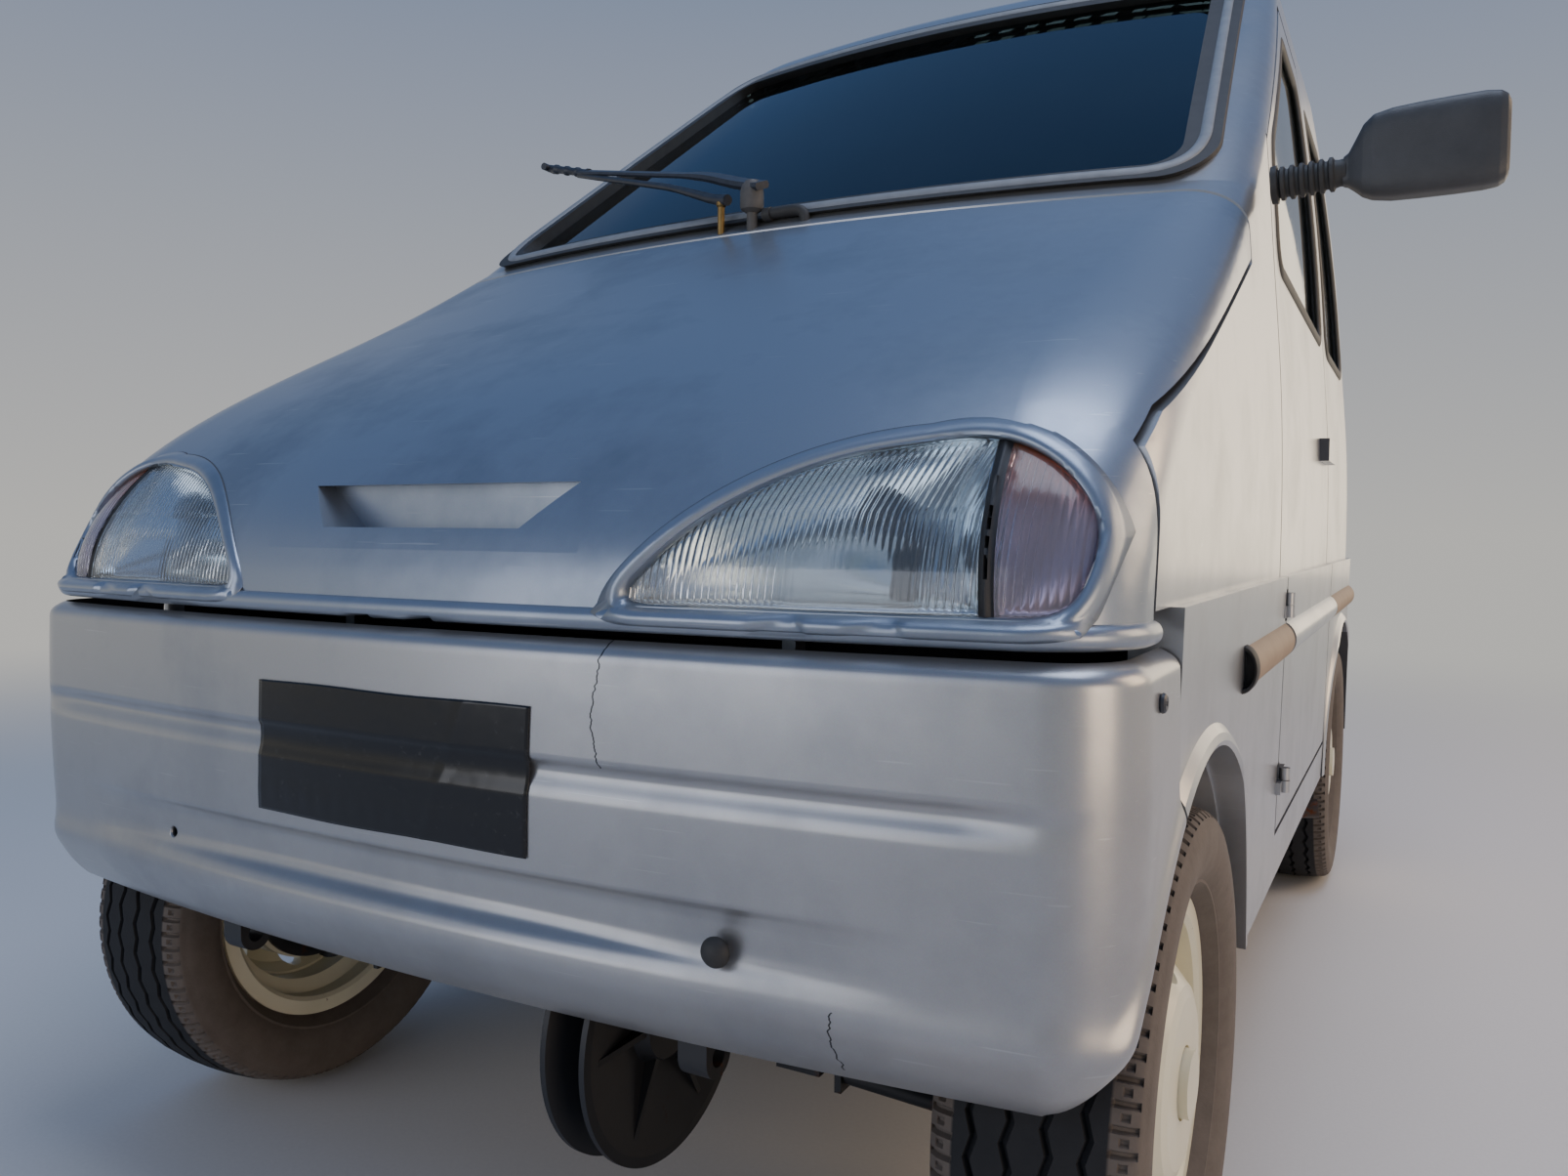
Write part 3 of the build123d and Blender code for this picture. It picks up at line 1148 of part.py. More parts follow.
# Door mirror on a ribbed rubber arm, left side only
with BuildPart() as mirror_left:
    with Locations((MIRROR_X, MIRROR_Y, MIRROR_Z)):
        Box(145, 52, 86)
    fillet(mirror_left.edges(), 16)
    add(rod((500, MIRROR_Y, MIRROR_Z - 14), (MIRROR_X - 60, MIRROR_Y, MIRROR_Z - 8), 12))
    for rib in range(5):
        x = 536 + rib * 10
        add(rod((x, MIRROR_Y, MIRROR_Z - 12), (x + 5, MIRROR_Y, MIRROR_Z - 12), 17))
    add(outer, mode=Mode.SUBTRACT)
save(mirror_left.part, "mirror_left")

# Wiper: a capped spindle with its arm and a guide arm beside it, which meet at the link for the blade
with BuildPart() as wiper:
    add(rod((*WIPER_SPINDLE, WIPER_FOOT_Z), (*WIPER_SPINDLE, WIPER_CAP_Z[0] + 1), WIPER_BASE_R))
    add(rod((*WIPER_SPINDLE, WIPER_CAP_Z[0]), (*WIPER_SPINDLE, WIPER_CAP_Z[1]), WIPER_CAP_R))
    fillet(wiper.faces().sort_by(Axis.Z)[-1].edges(), 6)
    add(rod((*WIPER_PIN, WIPER_FOOT_Z), (*WIPER_PIN, WIPER_PIN_Z), WIPER_PIN_R))
    add(rod((*WIPER_SPINDLE, WIPER_CAP_Z[1] - 6), WIPER_LINK, WIPER_ARM_R))
    add(rod((*WIPER_PIN, WIPER_PIN_Z - WIPER_ARM_R), WIPER_LINK, WIPER_ARM_R))
    add(rod(WIPER_LINK, WIPER_TIP, WIPER_ARM_R + 1.5))
    add(front_body.part, mode=Mode.SUBTRACT)
save(wiper.part, "wiper")
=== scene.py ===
from functools import partial
import bpy
import bmesh
import numpy as np
from mathutils import Matrix


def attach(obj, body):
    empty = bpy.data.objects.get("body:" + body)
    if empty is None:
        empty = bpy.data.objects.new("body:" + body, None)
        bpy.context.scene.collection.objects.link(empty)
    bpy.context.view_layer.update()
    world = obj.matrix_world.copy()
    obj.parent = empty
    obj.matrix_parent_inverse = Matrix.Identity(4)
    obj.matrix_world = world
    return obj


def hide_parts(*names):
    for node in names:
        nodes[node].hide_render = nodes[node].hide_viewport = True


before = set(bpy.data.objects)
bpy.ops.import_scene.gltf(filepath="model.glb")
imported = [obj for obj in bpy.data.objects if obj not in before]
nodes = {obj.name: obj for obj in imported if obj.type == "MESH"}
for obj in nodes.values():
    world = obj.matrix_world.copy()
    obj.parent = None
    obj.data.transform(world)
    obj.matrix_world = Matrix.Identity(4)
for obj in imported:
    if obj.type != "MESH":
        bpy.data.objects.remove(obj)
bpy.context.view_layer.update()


# Camera: it stands low in front of the car's left corner and looks back along the nose.
# Its place and turn were solved from the wheels, bumper, lamps and pillar in the photograph.
def stand(label, data, place, right, up, back):
    """Stands a camera or a lamp at its place, turned to its right, up and back directions."""
    thing = bpy.data.objects.new(label, data)
    turn = Matrix((right, up, back)).transposed().to_4x4()
    thing.matrix_world = Matrix.Translation(place) @ turn
    bpy.context.scene.collection.objects.link(thing)
    return thing


CAMERA_PLACE = (0.69092744, -0.92031842, 0.64143608)
CAMERA_RIGHT = (0.87350054, 0.4867734, 0.00696185)
CAMERA_UP = (-0.03047443, 0.04040175, 0.99871868)
CAMERA_BACK = (0.48586841, -0.87259347, 0.05012509)
view = bpy.data.cameras.new("camera")
view.sensor_width = 36
view.lens = 26.672
view.clip_start = 0.02
camera = stand("camera", view, CAMERA_PLACE, CAMERA_RIGHT, CAMERA_UP, CAMERA_BACK)
bpy.context.scene.camera = camera


# Studio: a pale sheet of floor, a soft pale sky, cool above, and five large soft boxes.
# The warm ones stand on the car's left and behind, where the sun is in the photograph.
def linear(code):
    """Linear red, green, blue and alpha of an sRGB hex colour."""
    parts = np.array([int(code[i:i + 2], 16) for i in (1, 3, 5)]) / 255
    low, high = parts / 12.92, ((parts + 0.055) / 1.055) ** 2.4
    return (*np.where(parts <= 0.04045, low, high), 1.0)


def add(tree, kind, *values, **named):
    """Adds a node. Values go to its shown sockets in order. A name that starts with a capital is a
    socket, any other a setting. A value is a number, a hex colour, a node or a node's socket. A Mix
    blends colours."""
    node = tree.nodes.new("ShaderNode" + kind)
    if kind == "Mix":
        node.data_type = "RGBA"
    for name, value in named.items():
        if name[0].islower():
            setattr(node, name, value)
    given = list(zip([socket for socket in node.inputs if socket.enabled], values))
    given += [(node.inputs[name.replace("_", " ")], named[name]) for name in named if name[0].isupper()]
    for socket, value in given:
        if isinstance(value, bpy.types.Node):
            value = next(output for output in value.outputs if output.enabled)
        if isinstance(value, bpy.types.NodeSocket):
            tree.links.new(value, socket)
        else:
            socket.default_value = linear(value) if isinstance(value, str) else value
    return node


def material(name):
    """A new empty material, the function that adds its nodes, and the object coordinates in metres.
    A texture's scale is how many of its grains go to a metre, so 500 draws one in each 2 mm. The
    bands of a wave are 3.2 times as many."""
    made = bpy.data.materials.new(name)
    made.use_nodes = True
    made.node_tree.nodes.clear()
    node = partial(add, made.node_tree)
    return made, node, node("TexCoord").outputs["Object"]


HAZE, ZENITH = "#e4e2dd", "#5d82b8"      # where floor and sky meet, and high above
DAYLIGHT = 0.72
world = bpy.data.worlds.new("studio")
bpy.context.scene.world = world
world.use_nodes = True
world.node_tree.nodes.clear()
node = partial(add, world.node_tree)
height = node("SeparateXYZ", node("TexCoord").outputs["Generated"]).outputs["Z"]
shade = node("Mix", node("MapRange", height, 0.0, 0.6), HAZE, ZENITH)
node("OutputWorld", node("Background", shade, DAYLIGHT))

LIGHTS = [  # name, place, aimed at, size, watts, colour
    ("warm_side", (4.2, 2.6, 2.4), (0.3, 0.4, 0.7), 2.6, 100, "#ffdcb0"),
    ("low_sun", (2.6, 7.5, 2.0), (0.5, 0.3, 0.7), 3.4, 70, "#ffe9c6"),
    ("warm_low", (3.4, -1.2, 0.6), (0.5, -0.1, 0.4), 1.6, 34, "#ffe0bd"),
    ("cool_top", (0.9, 0.2, 4.2), (0.3, 0.1, 0.7), 2.2, 70, "#dde8ff"),
    ("front_fill", (-1.6, -4.2, 1.5), (0.0, 0.0, 0.5), 3.0, 48, "#f1f4ff"),
]
for label, place, aim, size, watts, colour in LIGHTS:
    lamp = bpy.data.lights.new(label, "AREA")
    lamp.shape = "SQUARE"
    lamp.size = size
    lamp.energy = watts
    lamp.color = linear(colour)[:3]
    back = np.subtract(place, aim) / np.linalg.norm(np.subtract(place, aim))
    side = np.cross((0, 0, 1), back) / np.linalg.norm(np.cross((0, 0, 1), back))
    stand(label, lamp, place, side, np.cross(back, side), back)


def mesh_piece(name, grids, paint, body, stands_for=(), crease=35.0, outward=True):
    """A piece from grids of points, rows by columns by xyz: each cell is a quad, and points that
    fall together are merged, which closes seams and poles. Faces are turned outwards."""
    points, quads, start = [], [], 0
    for grid in grids:
        grid = np.asarray(grid, float)
        rows, columns = grid.shape[:2]
        index = start + np.arange(rows * columns).reshape(rows, columns)
        cell = [index[:-1, :-1], index[1:, :-1], index[1:, 1:], index[:-1, 1:]]
        quads.append(np.stack(cell, -1).reshape(-1, 4))
        points.append(grid.reshape(-1, 3))
        start += rows * columns
    mesh = bpy.data.meshes.new(name)
    mesh.from_pydata(np.concatenate(points).tolist(), [], np.concatenate(quads).tolist())
    shell = bmesh.new()
    shell.from_mesh(mesh)
    bmesh.ops.remove_doubles(shell, verts=shell.verts, dist=2e-6)
    bmesh.ops.dissolve_degenerate(shell, edges=shell.edges, dist=1e-7)
    if outward:
        bmesh.ops.recalc_face_normals(shell, faces=shell.faces)
    shell.to_mesh(mesh)
    shell.free()
    mesh.shade_smooth()
    mesh.set_sharp_from_angle(angle=np.radians(crease))
    thing = bpy.data.objects.new(name, mesh)
    bpy.context.scene.collection.objects.link(thing)
    mesh.materials.append(paint)
    if body:
        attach(thing, body)
    if stands_for:
        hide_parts(*stands_for)
    return thing


def grid_of(*axes):
    """A grid of points from arrays of x, y and z, each spread over the others' rows and columns."""
    return np.stack(np.broadcast_arrays(*axes), -1)


# The floor is a matt sheet that goes over into the haze, so no edge shows behind the car.
FLOOR_EDGE = 90
floor_sheet, node, place = material("matt floor sheet")
grain = node("TexNoise", place, Scale=220, Detail=3)
tone = node("Mix", grain, "#d9d6d1", "#e2dfda")
sheet = node("BsdfPrincipled", tone, Roughness=0.75)
distance = node("VectorMath", place, operation="LENGTH")
far = node("MapRange", distance, 1.8, 6.5, interpolation_type="SMOOTHSTEP")
node("OutputMaterial", node("MixShader", far, sheet, node("Emission", HAZE, DAYLIGHT)))
edge = np.array((-FLOOR_EDGE, FLOOR_EDGE))
floor = mesh_piece("floor", [grid_of(edge[:, None], edge, 0.0)], floor_sheet, None, outward=False)


# Body shell: panels of glass fibre in a mould, sprayed with a silver metallic lacquer and a
# clear coat that has gone dull in patches. The inner faces are bare grey or lined.
def silver_lacquer(name, light, dark, dull, dirt, cracks=()):
    """Silver two-coat lacquer: flakes of about 1 mm (drawn coarse so that they show), broad dull
    patches where the clear coat has weathered, fine scratches, and dust towards the sill. A crack
    is a hairline up the front that bends once: x, low z, bend z and high z."""
    made, node, place = material(name)
    spot_x, spot_y, spot_z = node("SeparateXYZ", place).outputs
    flake = node("TexNoise", place, Scale=900, Detail=2)
    patch = node("TexNoise", place, Scale=5.5, Detail=5, Roughness=0.6)
    worn = node("MapRange", patch, 0.46, 0.66)
    cloud = node("Mix", worn, light, dark)
    spark = node("Mix", 0.10, cloud, flake.outputs["Color"], blend_type="OVERLAY")
    stretch = node("Mapping", place, Scale=(3.0, 14.0, 120.0))
    hair = node("TexNoise", stretch, Scale=3, Detail=2)
    scratch = node("MapRange", hair, 0.70, 0.74, To_Max=0.35)
    scored = node("Mix", scratch, spark, "#c9ccce")
    low = node("MapRange", spot_z, 0.62, 0.22, 0.0, dirt)
    speck = node("TexNoise", place, Scale=38, Detail=6, Roughness=0.7)
    dusty = node("Math", low, speck, operation="MULTIPLY")
    sound = node("Mix", dusty, scored, "#8a8174")
    for x, low_z, bend_z, high_z in cracks:
        drop = node("Math", spot_z, bend_z, operation="SUBTRACT")
        away = node("Math", drop, operation="ABSOLUTE")
        jag = node("TexNoise", spot_z, Scale=120, Detail=3, noise_dimensions="1D")
        wander = node("Math", jag, 0.006, x - 0.003, operation="MULTIPLY_ADD")
        line = node("Math", away, 0.18, wander, operation="MULTIPLY_ADD")
        near = node("Math", spot_x, line, 0.0006, operation="COMPARE")
        reach = node("Math", spot_z, (low_z + high_z) / 2, (high_z - low_z) / 2, operation="COMPARE")
        front = node("Math", spot_y, -0.2, operation="LESS_THAN")
        split = node("Math", near, reach, operation="MULTIPLY")
        split = node("Math", split, front, operation="MULTIPLY")
        sound = node("Mix", split, sound, "#2a2b2d")
    gloss = node("MapRange", worn, To_Min=dull, To_Max=dull + 0.09)
    bump = node("Bump", Strength=0.035, Distance=0.0006, Height=flake)
    wave = node("TexNoise", place, Scale=16, Detail=1)
    orange = node("Bump", Strength=0.05, Distance=0.004, Height=wave, Normal=bump)
    paint = node("BsdfPrincipled", sound, Metallic=0.72, Roughness=gloss, Normal=orange,
                 Coat_Weight=0.45, Coat_Roughness=0.16)
    bare = node("Mix", patch, "#3a3c40", "#515357")
    lining = node("BsdfPrincipled", bare, Roughness=0.85)
    facing = node("TexCoord").outputs["Normal"]
    centred = node("VectorMath", place, (0.0, 0.8, 0.7), operation="SUBTRACT")
    inward = node("VectorMath", facing, centred, operation="DOT_PRODUCT")
    inside = node("Math", inward, -0.12, operation="LESS_THAN")
    node("OutputMaterial", node("MixShader", inside, paint, lining))
    return made


def repaint(paint, *names):
    """Gives CAD nodes a finish."""
    for name in names:
        for place in nodes[name].material_slots:
            place.material = paint


body_lacquer = silver_lacquer("silver metallic lacquer on glass fibre", "#a9acb0", "#9a9da2", 0.28, 0.5)
# The hood's darker, bluer base colours are a painted reflection of the sky; its dull patches and dust are
# weathering.
hood_lacquer_with_painted_sky_tint = silver_lacquer("weathered silver lacquer on the hood with painted sky tint", "#949daa", "#7c8795", 0.33, 0.2)
bumper_lacquer = silver_lacquer("scratched silver lacquer on the bumpers", "#a6a8ab", "#95989d", 0.32, 0.4,
                                cracks=((0.194, 0.478, 0.513, 0.569), (0.369, 0.296, 0.320, 0.341)))
repaint(body_lacquer, "front_body", "roof", "side_left", "side_right", "rear_panel", "door_left",
        "door_right", "tailgate")
repaint(hood_lacquer_with_painted_sky_tint, "hood")
repaint(bumper_lacquer, "front_bumper", "rear_bumper")

# Front bumper: a moulded skin of glass fibre, 5 mm thick, that wraps round both corners to the
# wheel arches. A soft groove runs across its face, and below it a recessed band with two
# screw holes sits over a rounded lower lip. The band's left hole holds a rubber plug.
HALF_SPAN, NOSE_LINE, CORNER, BOW = 0.550, -0.3031, 0.063, 4.003
BUMPER_HEAD, BUMPER_FOOT, BUMPER_END, ARCH, AXLE_HEIGHT = 0.565, 0.288, -0.126, 0.262, 0.216
TURN = np.arcsin((HALF_SPAN - CORNER) / (BOW - CORNER))
CORNER_Y = NOSE_LINE + BOW * (1 - np.cos(TURN)) + CORNER * np.cos(TURN)
SKIN, FOOT_ROUND = 0.005, 0.045
CORNER_COLUMNS, BOW_COLUMNS = 52, 110
# Heights where the groove and the band turn, and how much of their depth they have there
GROOVE_Z, GROOVE_SHARE = (0.4545, 0.460, 0.468, 0.4725, 0.4765, 0.4815), (0, 0.22, 0.85, 1, 0.7, 0)
BAND_Z, BAND_SHARE = (0.3455, 0.352, 0.358, 0.366, 0.385, 0.392, 0.3965), (0, 0.25, 0.75, 1, 1, 0.72, 0)
GROOVE_CUT, BAND_CUT, BAND_STEP, LIP_OUT, FLARE_OUT = 0.0062, 0.0115, 0.0015, 0.0035, 0.005
SCREW_X, SCREW_Z = 0.29, 0.3665


def smooth(value, low, high):
    """Rises smoothly from 0 at low to 1 at high."""
    share = np.clip((value - low) / (high - low), 0, 1)
    return share * share * (3 - 2 * share)


def nose_path(z):
    """Points x, y and outward normals of the bumper's left half at each height, from the wheel arch
    round the corner and along the bowed nose to the middle of the car."""
    end = -np.sqrt(np.maximum(ARCH ** 2 - (z - AXLE_HEIGHT) ** 2, 0))
    end = np.where(np.abs(z - AXLE_HEIGHT) < ARCH, np.minimum(end, BUMPER_END), BUMPER_END)
    dip = np.clip(BUMPER_FOOT + FOOT_ROUND - z, 0, FOOT_ROUND)
    end = end - 0.6 * (FOOT_ROUND - np.sqrt(FOOT_ROUND ** 2 - dip ** 2))
    past = np.maximum(CORNER_Y - end, 0) / CORNER
    start = np.where(end > CORNER_Y, CORNER_Y - end, CORNER * np.arcsin(np.clip(past, 0, 0.97)))[:, None]
    travel = start + (CORNER * (np.pi / 2 - TURN) - start) * np.linspace(0, 1, CORNER_COLUMNS)
    angle = np.maximum(travel, 0) / CORNER
    side = grid_of(HALF_SPAN - CORNER + CORNER * np.cos(angle),
                   CORNER_Y - CORNER * np.sin(angle) - np.minimum(travel, 0), np.cos(angle), -np.sin(angle))
    angle = np.linspace(TURN, 0, BOW_COLUMNS + 1)[1:]
    bow = grid_of(BOW * np.sin(angle), NOSE_LINE + BOW - BOW * np.cos(angle), np.sin(angle), -np.cos(angle))
    return np.concatenate([side, np.broadcast_to(bow, (len(z), *bow.shape))], 1)


def bumper_inset(x, y, z):
    """How far the face lies inside its outermost line: a slight bulge, rounded head and foot, the
    groove and band where they haven't faded out, less the lip under them and the arch's flare."""
    bulge = 0.004 * ((z - 0.475) / 0.13) ** 2
    bulge = bulge + 0.015 * np.clip((z - 0.549) / 0.0165, 0, 1) ** 3
    bulge = bulge + 0.020 * np.clip((0.338 - z) / 0.050, 0, 1) ** 2.2
    groove = GROOVE_CUT * np.interp(z, GROOVE_Z, GROOVE_SHARE) * (1 - smooth(x, 0.44, 0.535))
    depth = BAND_CUT * (1 - smooth(x, 0.10, 0.43)) + BAND_STEP * (1 - smooth(x, 0.38, 0.44))
    band = np.interp(z, BAND_Z, BAND_SHARE) * depth
    lip = LIP_OUT * np.exp(-((z - 0.335) / 0.016) ** 2)
    rim = np.hypot(y, z - AXLE_HEIGHT) - ARCH
    flare = FLARE_OUT * np.exp(-((rim - 0.004) / 0.009) ** 2) * smooth(z, 0.30, 0.36) * (x > 0.5)
    return bulge + groove + band - lip - flare


def bumper_shell(z, extra):
    """Grid of the whole bumper's face, or of its inner wall when extra is its thickness."""
    x, y, nx, ny = np.moveaxis(nose_path(z), -1, 0)
    inset = bumper_inset(x, y, z[:, None]) + extra
    left = grid_of(x - nx * inset, y - ny * inset, z[:, None])
    return np.concatenate([left, left[:, -2::-1] * (-1, 1, 1)], 1)


def closed(outside, inside):
    """Two facing grids and the four strips that join their edges."""
    strips = [np.stack([outside[side], inside[side]]) for side in (0, -1)]
    strips += [np.stack([outside[:, side], inside[:, side]]) for side in (0, -1)]
    return [outside, inside, *strips]


def turned(profile, start, end, sides=24):
    """A profile of (distance, radius) turned round the line from start towards end."""
    start, end = np.array(start, float), np.array(end, float)
    axis = (end - start) / np.linalg.norm(end - start)
    guide = np.array((0, 0, 1.0)) if abs(axis[2]) < 0.9 else np.array((1.0, 0, 0))
    right = np.cross(guide, axis) / np.linalg.norm(np.cross(guide, axis))
    front = np.cross(axis, right)
    along, radius = np.array(profile, float).T
    angle = np.linspace(0, 2 * np.pi, sides + 1)[:, None, None]
    ring = right * np.cos(angle) + front * np.sin(angle)
    return start + axis * along[:, None] + ring * radius[:, None]


def rod(length, radius):
    """Profile of a plain rod with flat ends."""
    return [(0, 0), (0, radius), (length, radius), (length, 0)]


def apply_modifiers(thing):
    """Makes a piece's mesh what its modifiers show."""
    shown = thing.evaluated_get(bpy.context.evaluated_depsgraph_get())
    mesh = bpy.data.meshes.new_from_object(shown)
    thing.modifiers.clear()
    thing.data = mesh


rows = np.concatenate([[BUMPER_HEAD, BUMPER_HEAD - 0.0006], np.linspace(BUMPER_HEAD - 0.002, 0.549, 7),
                       np.arange(0.547, 0.340, -0.0023), np.linspace(0.339, BUMPER_FOOT, 22)])
face = bumper_shell(rows, 0.0)
back = bumper_shell(np.clip(rows, BUMPER_FOOT + SKIN, BUMPER_HEAD - SKIN), SKIN)
bumper = mesh_piece("bumper_skin", closed(face, back), bumper_lacquer, "body",
                    ("front_bumper",), crease=50)
drills = [mesh_piece("drill", [turned(rod(0.06, 0.005), (x, -0.33, SCREW_Z), (x, -0.27, SCREW_Z))],
                     bumper_lacquer, None) for x in (-SCREW_X, SCREW_X)]
for drill in drills:
    hole = bumper.modifiers.new("hole", "BOOLEAN")
    hole.operation, hole.solver, hole.object = "DIFFERENCE", "EXACT", drill
apply_modifiers(bumper)
for drill in drills:
    bpy.data.objects.remove(drill)


# Bumper film: a blank black self-adhesive vinyl film across the middle of the front bumper. It
# bridges the groove, with straight edges and a few trapped ripples, and shines under the dust.
def thicken(thing, depth, inward=-1.0):
    """Gives a sheet its thickness with a Solidify that is applied."""
    solid = thing.modifiers.new("thickness", "SOLIDIFY")
    solid.thickness = depth
    solid.offset = inward
    solid.use_even_offset = True
    apply_modifiers(thing)


FILM_HALF, FILM_HEAD, FILM_FOOT = 0.1445, 0.5165, 0.4085
vinyl, node, place = material("black vinyl film")
ripple = node("TexNoise", place, Scale=30, Detail=2)
dent = node("Bump", Strength=0.12, Distance=0.003, Height=ripple)
dust = node("TexNoise", place, Scale=260, Detail=4)
mark = node("MapRange", dust, 0.62, 0.75, To_Max=0.12)
black = node("Mix", mark, "#0b0c0e", "#6e6f70")
node("OutputMaterial", node("BsdfPrincipled", black, Roughness=0.16, IOR=1.5, Normal=dent))

across, up = np.meshgrid(np.linspace(-1, 1, 65), np.linspace(0, 1, 49), indexing="ij")
film_z = FILM_FOOT + (FILM_HEAD - FILM_FOOT) * up + 0.0005 * np.sin(across * 5 + up * 4)
film_x = FILM_HALF * across - 0.004 * (1 - up) - 0.0015
nose = NOSE_LINE + film_x ** 2 / (2 * BOW)
full = bumper_inset(0, NOSE_LINE, film_z)
soft = full.copy()
for _ in range(30):
    soft[:, 1:-1] = (soft[:, :-2] + soft[:, 1:-1] + soft[:, 2:]) / 3
wrinkle = 0.0004 * np.abs(np.sin(film_x * 160)) * np.exp(-((up - 0.15) / 0.1) ** 2)
wrinkle += 0.0006 * np.exp(-((film_x - 0.06 - (film_z - 0.46) * 0.4) / 0.004) ** 2)
film_y = nose + np.minimum(full, 0.8 * soft) - 0.0007 - wrinkle
film = mesh_piece("bumper_film", [grid_of(film_x, film_y, film_z)], vinyl, "body",
                  outward=False)
thicken(film, 0.0006, 1.0)

# Headlamps and indicators: one clear moulded lens over each, in a rolled lip of the hood with
# round corners, on a bright reflector bowl. A slanted dark rib parts the indicator. The orange that
# rises up the indicator's lens and bowl is a painted glow and reflection of its amber bulb. The lens
# is fluted in zones, with a clear field low in its middle.
TIP, FOOT_END, CHEEK = (0.199, 0.589), (0.509, 0.589), (0.521, 0.640)
SHOULDER, TOP, BROW = (0.480, 0.690), (0.400, 0.700), (0.285, 0.667)
LAMP_POINTS = 240
LIP_WIDTH = 0.012
LENS_SET, LENS_WALL, LENS_GAP = 0.0052, 0.0048, 0.0012    # behind the nose, its depth, edge clearance
FLUTE, RIDGE_Z = 0.0052, 0.652
RIB_HALF = 0.0052
LENS_COLUMNS, BLINKER_COLUMNS, LENS_ROWS = 379, 130, 46
BULB_SPOT = 83, 26                                        # column and row of the bowl
SHIELD = [(0, 0), (0.001, 0.009), (0.005, 0.0135), (0.012, 0.016), (0.02, 0.0165), (0.02, 0.0145), (0.006, 0)]


def meet(target, points, axis=1, forward=True):
    """The points moved along an axis until they meet a piece."""
    probe = bpy.data.objects.new("probe", bpy.data.meshes.new("probe"))
    probe.data.vertices.add(points.size // 3)
    probe.data.vertices.foreach_set("co", np.ascontiguousarray(points, dtype=float).ravel())
    bpy.context.scene.collection.objects.link(probe)
    wrap = probe.modifiers.new("meet", "SHRINKWRAP")
    wrap.target = target
    wrap.wrap_method = "PROJECT"
    wrap.use_project_x, wrap.use_project_y, wrap.use_project_z = (axis == i for i in range(3))
    wrap.use_positive_direction, wrap.use_negative_direction = forward, not forward
    shown = probe.evaluated_get(bpy.context.evaluated_depsgraph_get())
    found = np.empty(points.size)
    shown.data.vertices.foreach_get("co", found)
    bpy.data.objects.remove(probe)
    return found.reshape(points.shape)


def arc_points(first, middle, last, count):
    """Points of the arc through three points, from the first to the last."""
    first, middle, last = np.array(first), np.array(middle), np.array(last)
    rows = 2 * np.array([middle - first, last - first])
    sums = np.array([middle @ middle - first @ first, last @ last - first @ first])
    centre = np.linalg.solve(rows, sums)
    size = np.hypot(*(first - centre))
    start, end = np.arctan2(*(first - centre)[::-1]), np.arctan2(*(last - centre)[::-1])
    angle = np.linspace(start, end, count)
    return centre + size * grid_of(np.cos(angle), np.sin(angle))


def fit_missed(points, found, hit):
    """Where the probe met nothing, y comes from a smooth surface through the points that it met."""
    x, z = points[..., 0] - 0.36, points[..., 2] - 0.64
    terms = grid_of(*(x ** i * z ** j for i in range(5) for j in range(4) if i + j < 5))
    weights = np.linalg.lstsq(terms[hit], found[hit], rcond=None)[0]
    return np.where(hit, found, terms @ weights)


def nose_y(x, z):
    """y of the nose's outer face at x and z, across the lamp opening too."""
    points = grid_of(x, -0.6, z)
    skin = meet(nodes["hood"], points)[..., 1]
    lens = np.maximum(meet(nodes["headlamp_left"], points)[..., 1], meet(nodes["indicators"], points)[..., 1])
    lens = np.where(lens > -0.55, lens - 0.0024, lens)
    seen = np.where(lens > -0.55, lens, skin)
    hit = (seen > -0.55) & (seen < -0.15) & ((lens > -0.55) | (skin < -0.19))
    return fit_missed(points, seen, hit)


def resample(points, count, closing=False):
    """Evenly spaced points along a line of points, or round it if it closes on its first point."""
    points = np.array(points, float)
    travel = np.concatenate([[0], np.cumsum(np.linalg.norm(np.diff(points, axis=0), axis=1))])
    even = np.linspace(0, travel[-1], count, endpoint=not closing)
    return grid_of(*(np.interp(even, travel, column) for column in points.T))


def rounded(line, width):
    """A closed line with each point at the mean of its neighbours, which rounds the corners."""
    return np.mean([np.roll(line, shift, 0) for shift in range(-(width // 2), width // 2 + 1)], 0)


sharp_line = resample(np.concatenate([
    np.linspace(TIP, FOOT_END, 200), np.linspace(FOOT_END, CHEEK, 40),
    arc_points(CHEEK, SHOULDER, TOP, 90), arc_points(TOP, BROW, TIP, 150)]), LAMP_POINTS, closing=True)
round_line = rounded(rounded(sharp_line, 15), 9)
heading = np.roll(round_line, -1, 0) - np.roll(round_line, 1, 0)
away = grid_of(heading[:, 1], -heading[:, 0]) / np.hypot(*heading.T)[:, None]
outer_line = sharp_line + away * LIP_WIDTH
reach = np.hypot(*(outer_line - round_line).T)

# Across the lip: distance out from the opening's edge, and how far the lip lies behind the nose
LIP = np.array([(0.0, 0.034), (0.0, 0.012), (0.0001, 0.0062), (0.0007, 0.0028), (0.0018, 0.0004),
                (0.0034, -0.0014), (0.0052, -0.0024), (0.0070, -0.0026), (0.0088, -0.0020),
                (0.0105, -0.0008), (0.0120, 0.0010)])
share = LIP[:, 0] / LIP_WIDTH * np.minimum(1, LIP_WIDTH / reach)[:, None]
share[:, -1] = 1
x, z = np.moveaxis(round_line[:, None] + (outer_line - round_line)[:, None] * share[..., None], -1, 0)
lip_grid = grid_of(x, nose_y(x, z) + LIP[:, 1], z)
lip_grid = np.concatenate([lip_grid, lip_grid[:1]])


def lamp_limits(x):
    """Heights of the opening's foot and head at x, in from its edge by the lens's clearance."""
    first, last = np.argmin(round_line[:, 0]), np.argmax(round_line[:, 0])
    line = np.roll(round_line, -first, 0)
    count = (last - first) % LAMP_POINTS
    low, high = line[:count + 1], np.concatenate([line[count:], line[:1]])[::-1]
    return np.interp(x, *low.T) + LENS_GAP, np.interp(x, *high.T) - LENS_GAP


def rib_x(z, side):
    """The slanted line between lamp and indicator, to one side of the rib."""
    return 0.462 - (z - 0.560) * 0.08125 + side * RIB_HALF


